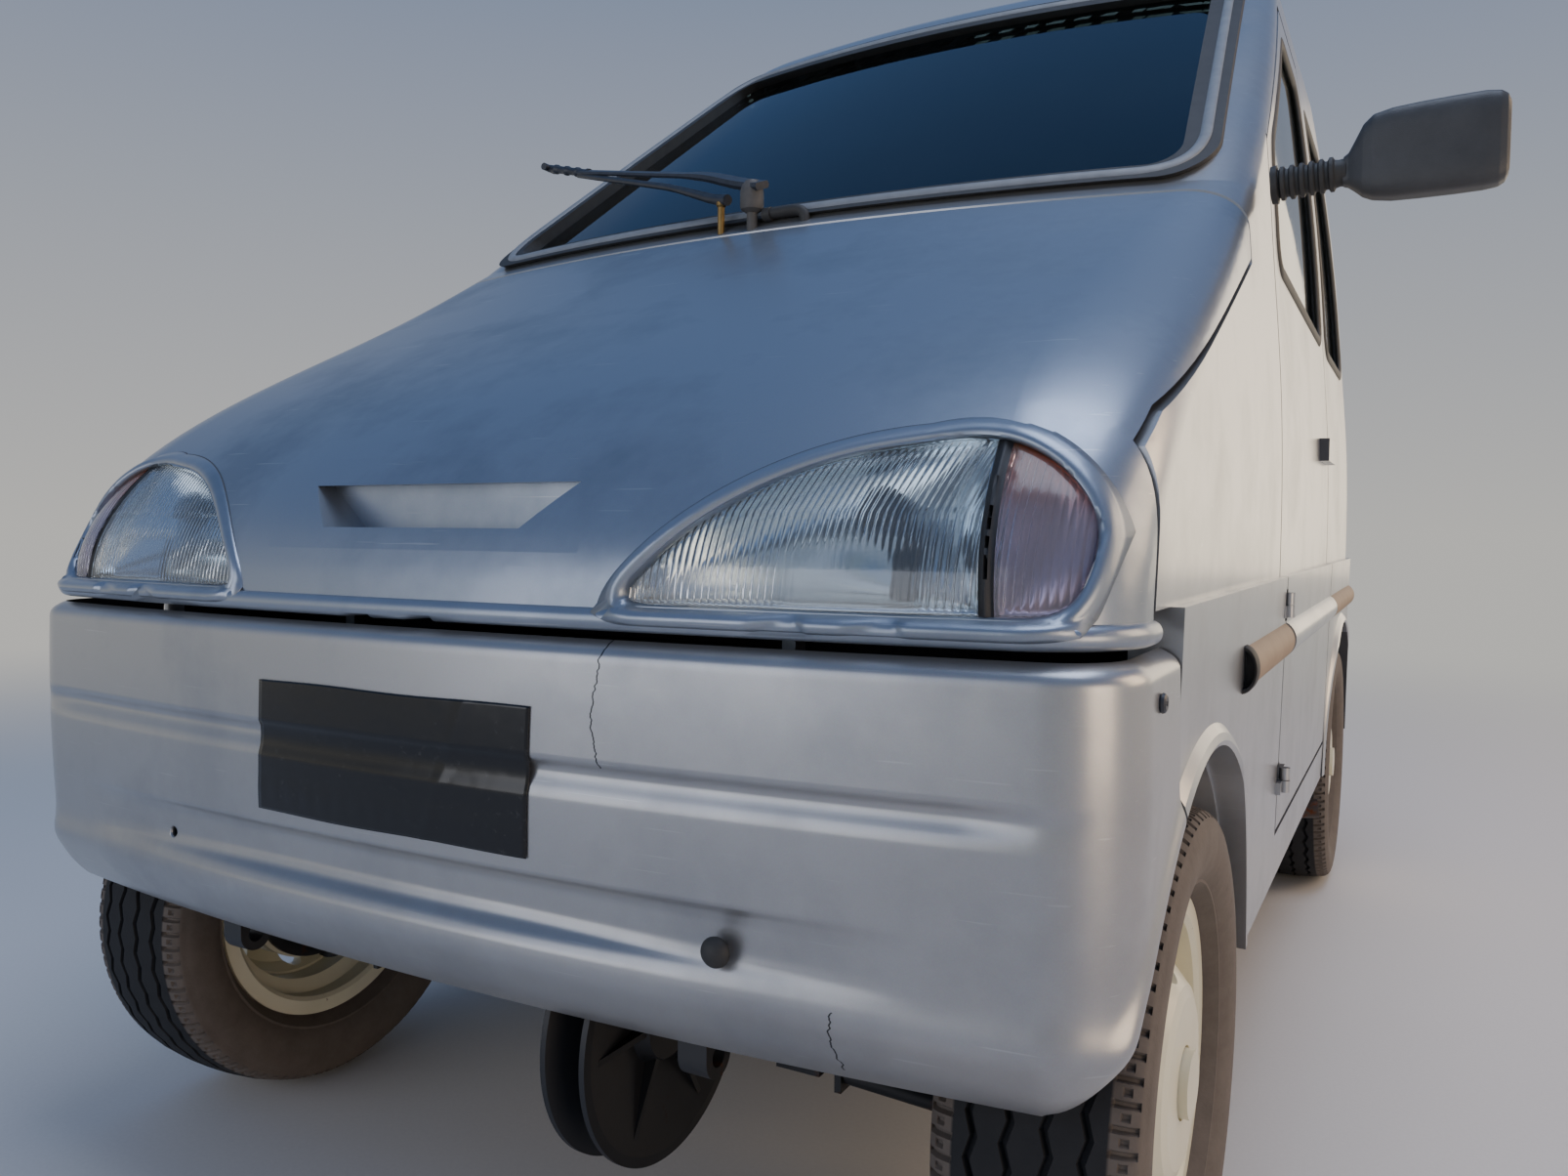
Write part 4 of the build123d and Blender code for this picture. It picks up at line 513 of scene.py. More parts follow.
def lamp_grid(x_from, x_to, columns, rows):
    """x and z of a grid that fills the opening between two sides, each a function of z."""
    share, rise = np.meshgrid(np.linspace(0, 1, columns), np.linspace(0, 1, rows), indexing="ij")
    z = np.full_like(share, 0.64)
    for _ in range(4):
        x = x_from(z) + (x_to(z) - x_from(z)) * share
        low, high = lamp_limits(x)
        z = low + np.maximum(high - low, 2e-4) * rise
    return x, z, share, rise


def bulb_glow_upwards(name, low, high, pale, orange, **finish):
    """A finish that turns orange with height: a painted glow and reflection of the amber bulb behind it."""
    made, node, place = material(name)
    warm = node("MapRange", node("SeparateXYZ", place).outputs["Z"], low, high)
    tint = node("Mix", warm, pale, orange)
    node("OutputMaterial", node("BsdfPrincipled", tint, **finish))
    return made


def mottled(name, dark, light, scale, detail, dullness, soft=0.5, metallic=0.0, relief=None, grain=None):
    """Two tones in cloudy patches, as on anything that has stood outside. Relief is the strength and
    depth of a bump that follows the patches, or the grain: a finer texture, its scale and detail."""
    made, node, place = material(name)
    patch = node("TexNoise", place, Scale=scale, Detail=detail, Roughness=soft)
    tone = node("Mix", patch, dark, light)
    finish = {"Roughness": dullness, "Metallic": metallic}
    if relief:
        height = node(grain[0], place, Scale=grain[1], Detail=grain[2]) if grain else patch
        finish["Normal"] = node("Bump", Strength=relief[0], Distance=relief[1], Height=height)
    node("OutputMaterial", node("BsdfPrincipled", tone, **finish))
    return made


# Pressed lamp glass: clear, with a haze of sand-blasting that spreads its highlights
lens_glass, node, place = material("clear moulded lamp glass")
blasted = node("TexNoise", place, Scale=26, Detail=5, Roughness=0.7)
dim = node("MapRange", blasted, 0.5, 0.75, 0.03, 0.22)
node("OutputMaterial", node("BsdfPrincipled", "#f0f5f7", Roughness=dim,
                            Transmission_Weight=0.96, IOR=1.5))
# The clear indicator lens turns orange with height: a painted glow of the amber bulb behind it.
lens_with_painted_bulb_glow = bulb_glow_upwards("clear lens with painted orange bulb glow", 0.655, 0.70, "#d9d3df", "#d98a50",
                              Roughness=0.12, Transmission_Weight=0.88, IOR=1.5)
# Aluminised reflector: a bright metal film that has clouded in patches
bright_bowl, node, place = material("aluminised reflector")
cloudy = node("TexNoise", place, Scale=18, Detail=3)
blur = node("MapRange", cloudy, 0.3, 0.7, 0.06, 0.24)
node("OutputMaterial", node("BsdfPrincipled", "#e8f0f6", Metallic=1.0, Roughness=blur))
# The indicator's reflector turns orange with height: a painted reflection of its amber bulb.
bowl_with_painted_bulb_reflection = bulb_glow_upwards("aluminised reflector with painted orange bulb reflection", 0.645, 0.695, "#dcd8e2", "#d07a35",
                             Metallic=0.8, Roughness=0.3)
# Dark moulded plastic: its 2 mm grain breaks up the highlight
dark_plastic = mottled("dark moulded plastic", "#1c1d1f", "#2b2c2e", 520, 3, 0.55, relief=(0.2, 0.0005))


def lens_and_bowl(x_from, x_to, columns, depth, zones):
    """A fluted lens behind the lip, and a bowl behind it that is deepest in its middle. Flutes are
    half waves across x, slanted above the ridge, and zones of 0 leaves them upright throughout."""
    x, z, share, rise = lamp_grid(x_from, x_to, columns, LENS_ROWS)
    y = nose_y(x, z) + LENS_SET
    phase = x - zones * 0.28 * np.clip(z - RIDGE_Z, 0, 1)
    clear = zones * smooth(x, 0.315, 0.335) * (1 - smooth(x, 0.405, 0.425)) * (1 - smooth(z, 0.625, 0.640))
    edge = np.clip(rise * 14, 0, 1) * np.clip(14 - rise * 14, 0, 1)
    flute = 0.0013 * np.abs(np.sin(np.pi * phase / FLUTE)) * edge * (1 - 0.94 * clear)
    ridge = zones * 0.0009 * np.exp(-((z - RIDGE_Z) / 0.0008) ** 2)
    hollow = np.clip(16 * share * (1 - share) * rise * (1 - rise), 0, 1) ** 0.45
    front, back, bowl = (grid_of(x, y + deeper, z)
                         for deeper in (-ridge, LENS_WALL - flute, 0.010 + depth * hollow))
    return closed(front, back), bowl[::3]


left_end, right_end = round_line[:, 0].min() + 0.0022, round_line[:, 0].max() - 0.0022
lens_grids, bowl_grid = lens_and_bowl(lambda z: left_end, lambda z: rib_x(z, -1), LENS_COLUMNS, 0.070, 1)
blinker_grids, blinker_bowl = lens_and_bowl(lambda z: rib_x(z, 1), lambda z: right_end, BLINKER_COLUMNS,
                                            0.042, 0)
x, z, share, rise = lamp_grid(lambda z: rib_x(z, -1), lambda z: rib_x(z, 1), 9, 30)
crest = 0.0022 * np.abs(2 * share - 1) - 0.0012 * (np.abs(share - 0.5) < 0.2)
rib_face = grid_of(x, nose_y(x, z) + LENS_SET + crest, z)
HANDS = (("left", np.array((1, 1, 1))), ("right", np.array((-1, 1, 1))))
for hand, flip in HANDS:
    lip = mesh_piece(f"lamp_lip_{hand}", [lip_grid * flip], hood_lacquer_with_painted_sky_tint, "hood", crease=60,
                     outward=False)
    thicken(lip, 0.0012, -float(flip[0]))
    mesh_piece(f"lamp_lens_{hand}", [grid * flip for grid in lens_grids], lens_glass, "hood",
               (f"headlamp_{hand}",), crease=60)
    mesh_piece(f"blinker_lens_{hand}", [grid * flip for grid in blinker_grids], lens_with_painted_bulb_glow, "hood",
               ("indicators",), crease=60)
    for label, grid, finish in (("lamp", bowl_grid, bright_bowl), ("blinker", blinker_bowl, bowl_with_painted_bulb_reflection)):
        bowl = mesh_piece(f"{label}_bowl_{hand}", [grid * flip], finish, "hood", outward=False)
        thicken(bowl, 0.001, 0.0)
    rib = [grid * flip for grid in closed(rib_face, rib_face + (0, 0.02, 0))]
    mesh_piece(f"lamp_rib_{hand}", rib, dark_plastic, "hood")
    bulb = bowl_grid[BULB_SPOT] * flip
    mesh_piece(f"bulb_shield_{hand}", [turned(SHIELD, bulb - (0, 0.034, 0), bulb)], dark_plastic, "hood")

# Tyres: radial road tyres, black carbon-filled rubber. Four zigzag grooves run round the
# tread, and the shoulder is cut into lugs with a small pocket in each. The shoulder and
# sidewall have weathered to a dusty brown; the tread face is scrubbed darker.
HUBS = {"front_left": (0.476, 0.0, 1), "front_right": (-0.476, 0.0, -1),
        "rear_left": (0.476, 1.458, 1), "rear_right": (-0.476, 1.458, -1)}
HUB_HEIGHT = 0.216
ZIGZAGS, LUGS, STEPS = 44, 88, 704
ZIGZAG_REACH, GROOVE_DEPTH, SLOT_DEPTH, POCKET_DEPTH = 0.0024, 0.0065, 0.0042, 0.0028
FACE_HALF, FACE_RADIUS = 0.051, 0.2

# Dust lies on the rubber in patches of 22 mm, and grit of 2.4 mm (drawn coarse) keeps it matt
tyre_rubber, node, place = material("weathered tyre rubber")
scrub = node("Attribute", attribute_name="tread").outputs["Fac"]
soil = node("TexNoise", place, Scale=45, Detail=6, Roughness=0.7)
brown = node("Mix", soil, "#4a423c", "#6d645c")
black = node("Mix", soil, "#101114", "#1e2024")
tone = node("Mix", scrub, brown, black)
grit = node("TexNoise", place, Scale=420, Detail=4)
rough = node("Bump", Strength=0.25, Distance=0.0008, Height=grit)
node("OutputMaterial", node("BsdfPrincipled", tone, Roughness=0.82, Normal=rough))

# Half section from the crown out: distance out, radius, groove, zigzag, lug and pocket on the
# tread, then distance out and radius down the sidewall and round the bead to the inner wall
HALF_TREAD = [
    (0.0, 0.2160, 0, 0, 0, 0), (0.0100, 0.2159, 0, 1, 0, 0), (0.0114, 0.2159, 1, 1, 0, 0),
    (0.0146, 0.2157, 1, 1, 0, 0), (0.0160, 0.2156, 0, 1, 0, 0), (0.0250, 0.2151, 0, 0, 0, 0),
    (0.0345, 0.2142, 0, -1, 0, 0), (0.0358, 0.2141, 1, -1, 0, 0), (0.0390, 0.2137, 1, -1, 0, 0),
    (0.0403, 0.2136, 0, -1, 0, 0), (0.0500, 0.2121, 0, 0, 0, 0), (0.0520, 0.2117, 0, 0, 1, 0),
    (0.0565, 0.2108, 0, 0, 1, 0), (0.0573, 0.2106, 0, 0, 1, 1), (0.0618, 0.2092, 0, 0, 1, 1),
    (0.0628, 0.2086, 0, 0, 1, 0), (0.0668, 0.2055, 0, 0, 1, 0),
]
SIDEWALL = [
    (0.0678, 0.2042), (0.0690, 0.2020), (0.0692, 0.1990), (0.0708, 0.1960), (0.0718, 0.1890),
    (0.0720, 0.1820), (0.0712, 0.1740), (0.0690, 0.1660), (0.0655, 0.1590), (0.0625, 0.1550),
    (0.0625, 0.1525), (0.0585, 0.1500), (0.0530, 0.1470), (0.0460, 0.1428), (0.0457, 0.1276),
    (0.0340, 0.1276), (0.0340, 0.1480),
]
half = np.concatenate([HALF_TREAD, np.pad(SIDEWALL, ((0, 0), (0, 4)))])
other = half[::-1] * (-1, 1, 1, -1, 1, 1)
out, radius, groove, zigzag, lug, pocket = np.concatenate([other, half[1:], other[:1]]).T
step = np.arange(STEPS + 1)
angle = (2 * np.pi * step / STEPS)[:, None]
saw = 2 * np.abs(2 * (step / STEPS * ZIGZAGS % 1) - 1) - 1
slot_cut = np.isin(step % (STEPS // LUGS), (5, 6))[:, None]
pocket_cut = np.isin(step % (STEPS // LUGS), (1, 2))[:, None]
tyre_out = out + ZIGZAG_REACH * saw[:, None] * zigzag
tyre_radius = (radius - GROOVE_DEPTH * groove - SLOT_DEPTH * lug * slot_cut
               - POCKET_DEPTH * pocket * pocket_cut)
for corner, (hub_x, hub_y, side) in HUBS.items():
    grid = grid_of(hub_x + side * tyre_out, hub_y + tyre_radius * np.sin(angle),
                   HUB_HEIGHT + tyre_radius * np.cos(angle))
    tyre = mesh_piece(f"road_tyre_{corner}", [grid], tyre_rubber, f"wheel_{corner}",
                      (f"tyre_{corner}",), crease=28)
    spots = np.empty(len(tyre.data.vertices) * 3)
    tyre.data.vertices.foreach_get("co", spots)
    x, y, z = spots.reshape(-1, 3).T
    face = (np.abs(x - hub_x) < FACE_HALF) & (np.hypot(y - hub_y, z - HUB_HEIGHT) > FACE_RADIUS)
    tyre.data.attributes.new("tread", "FLOAT", "POINT").data.foreach_set("value", face.astype(np.float32))

# Rims: pressed steel, ten inches, sprayed cream, with rust where the paint has chipped at
# the flange and round the vent holes. A black rubber valve stands in the well of each.
VALVE = [(0, 0), (0, 0.0055), (0.006, 0.006), (0.009, 0.0045), (0.022, 0.0042), (0.023, 0.0036),
         (0.031, 0.0036), (0.032, 0)]
VALVE_FOOT, VALVE_HEAD = (0.020, -0.068, -0.085), (0.052, -0.062, -0.078)     # out, back and up from the hub
# Enamel that still shines a little, stained in patches of 70 mm and chipped in spots of 17 mm
cream_enamel, node, place = material("cream enamel on pressed steel")
chip = node("TexNoise", place, Scale=60, Detail=6, Roughness=0.75)
bare = node("MapRange", chip, 0.66, 0.72)
stain = node("TexNoise", place, Scale=14, Detail=4)
cream = node("Mix", stain, "#e4dfc6", "#cfc9ad")
chipped = node("Mix", bare, cream, "#7d5a40")
skin = node("Bump", Strength=0.15, Distance=0.001, Height=chip)
node("OutputMaterial", node("BsdfPrincipled", chipped, Roughness=0.38, Coat_Weight=0.25,
                            Coat_Roughness=0.2, Normal=skin))
repaint(cream_enamel, "rim_front_left", "rim_front_right", "rim_rear_left", "rim_rear_right")

# Black rubber has bloomed grey in patches of 30 mm, and pores (drawn coarse) keep it dull
black_rubber = mottled("black moulded rubber", "#1b1c1d", "#3a3a39", 34, 5, 0.62, soft=0.7,
                       relief=(0.12, 0.0005), grain=("TexNoise", 700, 2))
for corner, (hub_x, hub_y, side) in HUBS.items():
    ends = (np.array((hub_x, hub_y, HUB_HEIGHT)) + place * np.array((side, 1, 1))
            for place in (VALVE_FOOT, VALVE_HEAD))
    mesh_piece(f"valve_{corner}", [turned(VALVE, *ends, 16)], black_rubber, f"wheel_{corner}")

# Windscreen: the glass sits in a black rubber seal, and a grey locking strip is let into the
# middle of the seal all round. Both are extruded, and the strip has bleached.
SCREEN_CORNERS = [(-0.475, 1.0105), (0.475, 1.0105), (0.413, 1.443), (-0.413, 1.443)]
BEAD_POINTS = 420


def sweep(path, section, guide, scale=None, ring=False):
    """Grid of a section (side, up) drawn along a path. The up direction stays near the guide; a path
    that isn't a ring is capped at both ends."""
    path = np.array(path, float)
    ahead = np.roll(path, -1, 0) - np.roll(path, 1, 0) if ring else np.gradient(path, axis=0)
    ahead /= np.linalg.norm(ahead, axis=1)[:, None]
    side = np.cross(ahead, guide)
    side /= np.linalg.norm(side, axis=1)[:, None]
    up = np.cross(side, ahead)
    section = np.array(section, float)
    size = np.ones(len(path)) if scale is None else np.array(scale, float)
    drawn = side[:, None] * section[:, :1] + up[:, None] * section[:, 1:]
    grid = path[:, None] + drawn * size[:, None, None]
    if ring:
        return np.concatenate([grid, grid[:1]])
    ends = [np.broadcast_to(path[end], grid[0].shape)[None] for end in (0, -1)]
    return np.concatenate([ends[0], grid, ends[1]])


def oval(width, height, sides=16):
    """Closed oval section of these half sizes."""
    angle = np.linspace(0, 2 * np.pi, sides + 1)
    return grid_of(width * np.cos(angle), height * np.sin(angle))


# Grey rubber that has turned chalky in patches of 17 mm
grey_rubber = mottled("grey rubber locking strip", "#6b6f74", "#8b9095", 60, 4, 0.5)
repaint(black_rubber, "windscreen_seal")
x, z = rounded(resample(SCREEN_CORNERS + SCREEN_CORNERS[:1], BEAD_POINTS, closing=True), 21).T
spots = grid_of(x, -0.6, z)
met = meet(nodes["windscreen_seal"], spots)[:, 1]
bead_line = grid_of(x, fit_missed(spots, met, met > -0.55), z)
bead = sweep(bead_line, oval(0.0065, 0.0028), (0, -0.85, 0.5), ring=True)
mesh_piece("screen_bead", [bead], grey_rubber, "body")

# Side windows: extruded rubber frames round the panes of the doors and the quarter panels,
# pushed over the edge of each opening.
DOOR_GLASS = [(0.558, 0.952), (1.126, 0.942), (1.126, 1.350), (0.912, 1.350), (0.558, 1.092)]
QUARTER_GLASS = [(1.224, 0.942), (1.590, 0.942), (1.530, 1.350), (1.224, 1.350)]
SEAL_POINTS = 360
SILL_SIDE, HEAD_SIDE = (0.94, 0.524), (1.35, 0.481)      # height of the window's foot and head, x there
for name, corners, panel, rider, width in (("door_glass_seal", DOOR_GLASS, "door", "door_{}", 15),
                                           ("quarter_glass_seal", QUARTER_GLASS, "side", "body", 21)):
    line = rounded(resample(corners + corners[:1], SEAL_POINTS, closing=True), width)
    grown = (line - line.mean(0)) * 1.045 + line.mean(0)
    heights, sides = np.transpose([SILL_SIDE, HEAD_SIDE])
    for hand, (way, _, _) in HANDS:
        spots = grid_of(way * 0.9, *grown.T)
        met = meet(nodes[f"{panel}_{hand}"], spots, axis=0, forward=bool(way < 0))[:, 0]
        x = np.where(np.abs(met) < 0.85, met, np.interp(line[:, 1], heights, way * sides))
        ring = sweep(grid_of(x - way * 0.002, *line.T), oval(0.0095, 0.0045), (way, 0, 0.1), ring=True)
        mesh_piece(f"{name}_{hand}", [ring], black_rubber, rider.format(hand))


# Wiper: a capped grey spindle, a brass guide pin and two dark arms that meet at the link for
# the blade, which is missing. A washer elbow of moulded rubber stands beside it.
def soft_line(points, count, width):
    """Evenly spaced points along a line whose corners are rounded by a moving mean."""
    line = resample(points, count)
    padded = np.concatenate([np.repeat(line[:1], width // 2, 0), line, np.repeat(line[-1:], width // 2, 0)])
    mean = np.mean([padded[i:i + count] for i in range(width // 2 * 2 + 1)], 0)
    mean[0], mean[-1] = line[0], line[-1]
    return mean


# Sprayed spring steel, bleached plastic and brass, each worn in spots of 7 to 11 mm
wiper_paint = mottled("blue-black paint on spring steel", "#1a1e26", "#3a3f49", 90, 5, 0.42)
grey_cap = mottled("sun-bleached grey plastic", "#3c3c3d", "#5c5a57", 120, 5, 0.6)
brass = mottled("tarnished brass", "#6e5a38", "#9a8050", 150, 4, 0.42, metallic=0.9)
SPINDLE, PIN, SCUTTLE_Z = (-0.009, 0.254), (-0.051, 0.254), 0.979
LINK, ARM_TIP = np.array((-0.366, 0.380, 1.138)), np.array((-0.424, 0.386, 1.153))
ARM_UP = (0, -0.4, 1)
CAP = [(0, 0), (0, 0.0062), (0.028, 0.0062), (0.032, 0.0128), (0.036, 0.0138), (0.052, 0.0138),
       (0.060, 0.012), (0.065, 0.008), (0.066, 0)]
GUIDE_PIN = [(0, 0), (0, 0.0062), (0.006, 0.0062), (0.008, 0.0042), (0.040, 0.0042), (0.042, 0.0058),
             (0.046, 0.0058), (0.048, 0)]
cap = turned(CAP, (*SPINDLE, SCUTTLE_Z), (*SPINDLE, 1.045), 28)
mesh_piece("wiper_cap", [cap], grey_cap, "body", ("wiper",))
pin = turned(GUIDE_PIN, (*PIN, SCUTTLE_Z), (*PIN, 1.03), 20)
mesh_piece("wiper_pin", [pin], brass, "body", ("wiper",))
SLAB = [(-0.006, -0.0028), (0.006, -0.0028), (0.0075, 0), (0.006, 0.0028), (-0.006, 0.0028), (-0.0075, 0),
        (-0.006, -0.0028)]
root = np.array((*SPINDLE, 1.038))
drive = soft_line([root + (0.016, -0.004, -0.002), root, root + (LINK - root) * 0.22 + (0, -0.004, 0.007),
                   root + (LINK - root) * 0.6 + (0, 0, 0.004), LINK], 60, 9)
drive_size = np.interp(np.linspace(0, 1, 60), [0, 0.05, 0.3, 0.36, 1], [1.5, 1.7, 1.3, 1.0, 0.9])
root = np.array((*PIN, 1.026))
second = soft_line([root + (0.010, -0.002, 0), root, root + (LINK - root) * 0.3 + (0, -0.003, 0.004),
                    LINK - (0, 0, 0.004)], 50, 7)
second_size = np.interp(np.linspace(0, 1, 50), [0, 0.3, 1], [1.7, 1.1, 1])
spring = resample([LINK - (ARM_TIP - LINK) * 0.35, ARM_TIP], 24)
coils = 1 + 0.28 * (np.arange(24) % 6 < 2)
arms = [sweep(drive, SLAB, ARM_UP, drive_size), sweep(second, oval(0.0042, 0.0038, 12), ARM_UP, second_size),
        sweep(spring, oval(0.0058, 0.0052), ARM_UP, coils),
        turned(rod(0.024, 0.005), ARM_TIP - (0, 0.012, 0), ARM_TIP + (0, 0.012, 0), 14)]
mesh_piece("wiper_arms", arms, wiper_paint, "body", ("wiper",))
ELBOW = [(0.008, 0.262, 1.006), (0.046, 0.262, 1.007), (0.056, 0.262, 1.003), (0.058, 0.262, 0.984)]
COLLAR_START, COLLAR_END = (0.003, 0.262, 1.0055), (0.013, 0.262, 1.006)
nozzle = [sweep(soft_line(ELBOW, 40, 9), oval(0.0062, 0.0062), (0, 1, 0)),
          turned(rod(0.010, 0.008), COLLAR_START, COLLAR_END, 18)]
mesh_piece("washer_nozzle", nozzle, black_rubber, "body")

# Door mirror: a moulded black housing on a ribbed rubber boot, its glass facing back. The
# plastic has greyed in broad patches, and a leather grain of 1 mm spreads its highlights.
weathered_plastic = mottled("weathered black plastic", "#26282b", "#45484c", 22, 6, 0.48, soft=0.7,
                            relief=(0.22, 0.0006), grain=("TexVoronoi", 900, 0))
mirror_glass, node, place = material("silvered mirror glass")
dusty = node("TexNoise", place, Scale=40, Detail=4)
blur = node("MapRange", dusty, To_Min=0.02, To_Max=0.10)
node("OutputMaterial", node("BsdfPrincipled", "#d4dade", Metallic=1.0, Roughness=blur))
MIRROR_Y = 0.400
BOOT_START, BOOT_END = (0.534, MIRROR_Y, 1.0025), (0.605, MIRROR_Y, 1.0068)
PANE_X, PANE_Y, PANE_Z, PANE_HALF_X, PANE_HALF_Z = 0.686, 0.4215, 1.0185, 0.0520, 0.0365
# From the root of its arm out to its end: x, half height, middle height and depth of the housing
HOUSING = np.array([
    (0.601, 0.0135, 1.0065, 0.020), (0.606, 0.0160, 1.0075, 0.022), (0.612, 0.0240, 1.0110, 0.028),
    (0.619, 0.0340, 1.0150, 0.034), (0.628, 0.0400, 1.0170, 0.039), (0.645, 0.0430, 1.0175, 0.043),
    (0.670, 0.0440, 1.0180, 0.045), (0.700, 0.0445, 1.0185, 0.045), (0.724, 0.0445, 1.0190, 0.043),
    (0.736, 0.0430, 1.0190, 0.040), (0.7415, 0.0395, 1.0190, 0.036), (0.7445, 0.0330, 1.0190, 0.030),
    (0.7452, 0.0, 1.0190, 0.0)])


def rounded_square(angle, power):
    """Distance from the middle to the edge of a rounded square at each angle."""
    return (np.abs(np.cos(angle)) ** power + np.abs(np.sin(angle)) ** power) ** (-1 / power)


angle = np.linspace(0, 2 * np.pi, 65)
square = rounded_square(angle, 5)
slices = np.interp(np.linspace(0, 1, 90), np.linspace(0, 1, len(HOUSING)), HOUSING[:, 0])[:, None]
half_high, middle, deep = (np.interp(slices, HOUSING[:, 0], column) for column in HOUSING.T[1:])
bulge = np.where(np.sin(angle) < 0, 1.1, 0.8)            # fuller in front than behind
housing = grid_of(slices, MIRROR_Y + 0.5 * deep * square * np.sin(angle) * bulge,
                  middle + half_high * square * np.cos(angle))
housing[0] = (0.601, MIRROR_Y, 1.0065)
mesh_piece("mirror_housing", [housing], weathered_plastic, "body", ("mirror_left",),
           crease=60)
BOOT = [(0.0, 0.0), (0.0, 0.019), (0.006, 0.0195), (0.007, 0.014)]
for rib in range(6):
    BOOT += [(0.0075 + rib * 0.0092 + along, radius)
             for along, radius in ((0.0, 0.0140), (0.0018, 0.0172), (0.0050, 0.0172), (0.0068, 0.0140))]
BOOT += [(0.064, 0.0132), (0.070, 0.0138), (0.071, 0.0)]
boot = turned(BOOT, BOOT_START, BOOT_END, 36)
mesh_piece("mirror_boot", [boot], black_rubber, "body", ("mirror_left",), crease=28)
pane_x, pane_z = np.meshgrid(np.linspace(-1, 1, 25), np.linspace(-1, 1, 17), indexing="ij")
stretch = np.maximum(np.abs(pane_x) ** 8 + np.abs(pane_z) ** 8, 1e-9) ** -0.125
stretch = np.minimum(stretch * np.maximum(np.abs(pane_x), np.abs(pane_z)), 1)
pane = grid_of(PANE_X + PANE_HALF_X * pane_x * stretch, PANE_Y + 0.0012 * pane_x ** 2,
               PANE_Z + PANE_HALF_Z * pane_z * stretch)
glass = mesh_piece("mirror_glass", [pane], mirror_glass, "body", outward=False)
thicken(glass, 0.002, 0.0)

# Small fixings: a pushed-in rubber plug in the bumper's left screw hole, and a painted steel
# screw with a domed head on each fender.
PLUG = [(0, 0), (0.0010, 0.0045), (0.0032, 0.0082), (0.0050, 0.0100), (0.0068, 0.0105), (0.0085, 0.0100),
        (0.0088, 0.0048), (0.022, 0.0046), (0.023, 0)]
SCREW = [(0, 0), (0, 0.0012), (0.0008, 0.0018), (0.0006, 0.0045), (0.0016, 0.0060), (0.0032, 0.0066),
         (0.0036, 0.0062), (0.010, 0.003), (0.010, 0)]
PLUG_HEAD, PLUG_FOOT = (0.2935, -0.3005, 0.3672), (0.2915, -0.2805, 0.3672)
SCREW_HEAD, SCREW_FOOT = (0.5535, -0.19, 0.537), (0.5435, -0.19, 0.537)
mesh_piece("bumper_plug", [turned(PLUG, PLUG_HEAD, PLUG_FOOT, 32)], black_rubber, "body")
screw = turned(SCREW, SCREW_HEAD, SCREW_FOOT)
for hand, flip in HANDS:
    mesh_piece(f"fender_screw_{hand}", [screw * flip], wiper_paint, "body")

# Rub strips: ribbed soft plastic, extruded and aged to a blotchy grey-brown, with painted warm
# sunlight that turns it tan. An open hollow at the front end has a black mouth, which is painted shade.
STRIP_X, STRIP_Z, STRIP_DEPTH, STRIP_HALF = 0.5465, 0.520, 0.0135, 0.0208
# The tan is partly the aged plastic's own colour and partly painted warm sunlight.
strip_plastic_with_painted_sunlight = mottled("aged grey-brown rub strip with painted warm sunlight", "#7c6650", "#9c856c", 30, 6, 0.6, soft=0.7,
                      relief=(0.2, 0.0006))
repaint(strip_plastic_with_painted_sunlight, "rub_strips")
angle = np.linspace(0, np.pi, 25)
half_oval = grid_of(STRIP_X + STRIP_DEPTH * np.sin(angle), STRIP_Z - STRIP_HALF * np.cos(angle))
middle = np.array((STRIP_X + 0.0013, STRIP_Z))
wall = []
for size, y in ((1.04, 0.192), (1.05, 0.174), (1.0, 0.1725), (0.86, 0.1735), (0.82, 0.189), (0.0, 0.189)):
    x, z = (middle + (half_oval - middle) * size).T
    wall.append(grid_of(x, y, z))
# The mouth is black rubber that stands for the shade inside the hollow: painted shade.
for hand, flip in HANDS:
    mesh_piece(f"strip_mouth_painted_shade_{hand}", [np.stack(wall) * flip], black_rubber, "body")


# Cabin: a moulded dashboard, soft black wheel, needled carpet, and foam cushions in woven
# cloth on plastic boxes, with sewn channels and a piped seam.
def cushion(centre, right, front, up, crown, channels):
    """A crowned, closed cushion: its sides pull in between the corners, sewn channels run across it
    and a piped seam runs round its edge."""
    rows = np.concatenate([np.linspace(0, 0.88, 26), np.linspace(0.90, 1, 9)])
    height = (1 - rows ** 5) ** 0.34
    level = np.concatenate([rows, rows[-2::-2]])
    height = np.concatenate([height, -height[-2::-2]])
    turn, level = np.meshgrid(np.linspace(0, 2 * np.pi, 121), level, indexing="ij")
    edge = level * rounded_square(turn, 6) * (1 - 0.022 * (1 - np.abs(np.sin(2 * turn))))
    a, b = edge * np.cos(turn), edge * np.sin(turn)
    h = np.broadcast_to(height, turn.shape)
    dome = (1 - a ** 2) * (1 - b ** 2)
    h = np.where(h > 0, h * (1 - crown + crown * dome), h)
    for line in channels:
        h = h - 0.10 * np.exp(-((b - line) / 0.030) ** 2) * (h > 0.3) * (np.abs(a) < 0.72)
    for line in (-0.74, 0.74):
        h = h - 0.12 * np.exp(-((a - line) / 0.028) ** 2) * (h > 0.3)
    piping = 1 + 0.012 * np.exp(-((h - 0.45) / 0.10) ** 2) * (level > 0.9)
    return centre + (a * piping)[..., None] * right + (b * piping)[..., None] * front + h[..., None] * up


# Charcoal plastic with a pebbled grain of 2.4 mm, and carpet whose loops of 1 mm catch the light
dash_plastic = mottled("grained charcoal dashboard plastic", "#232427", "#3a3b3e", 6, 5, 0.6,
                       relief=(0.3, 0.0008), grain=("TexVoronoi", 420, 0))
carpet = mottled("needled charcoal carpet", "#1d1d1f", "#47474a", 900, 2, 0.95, relief=(0.6, 0.002))
repaint(dash_plastic, "dashboard")
repaint(dark_plastic, "steering_wheel", "steering_column")
repaint(carpet, "floor_pan")
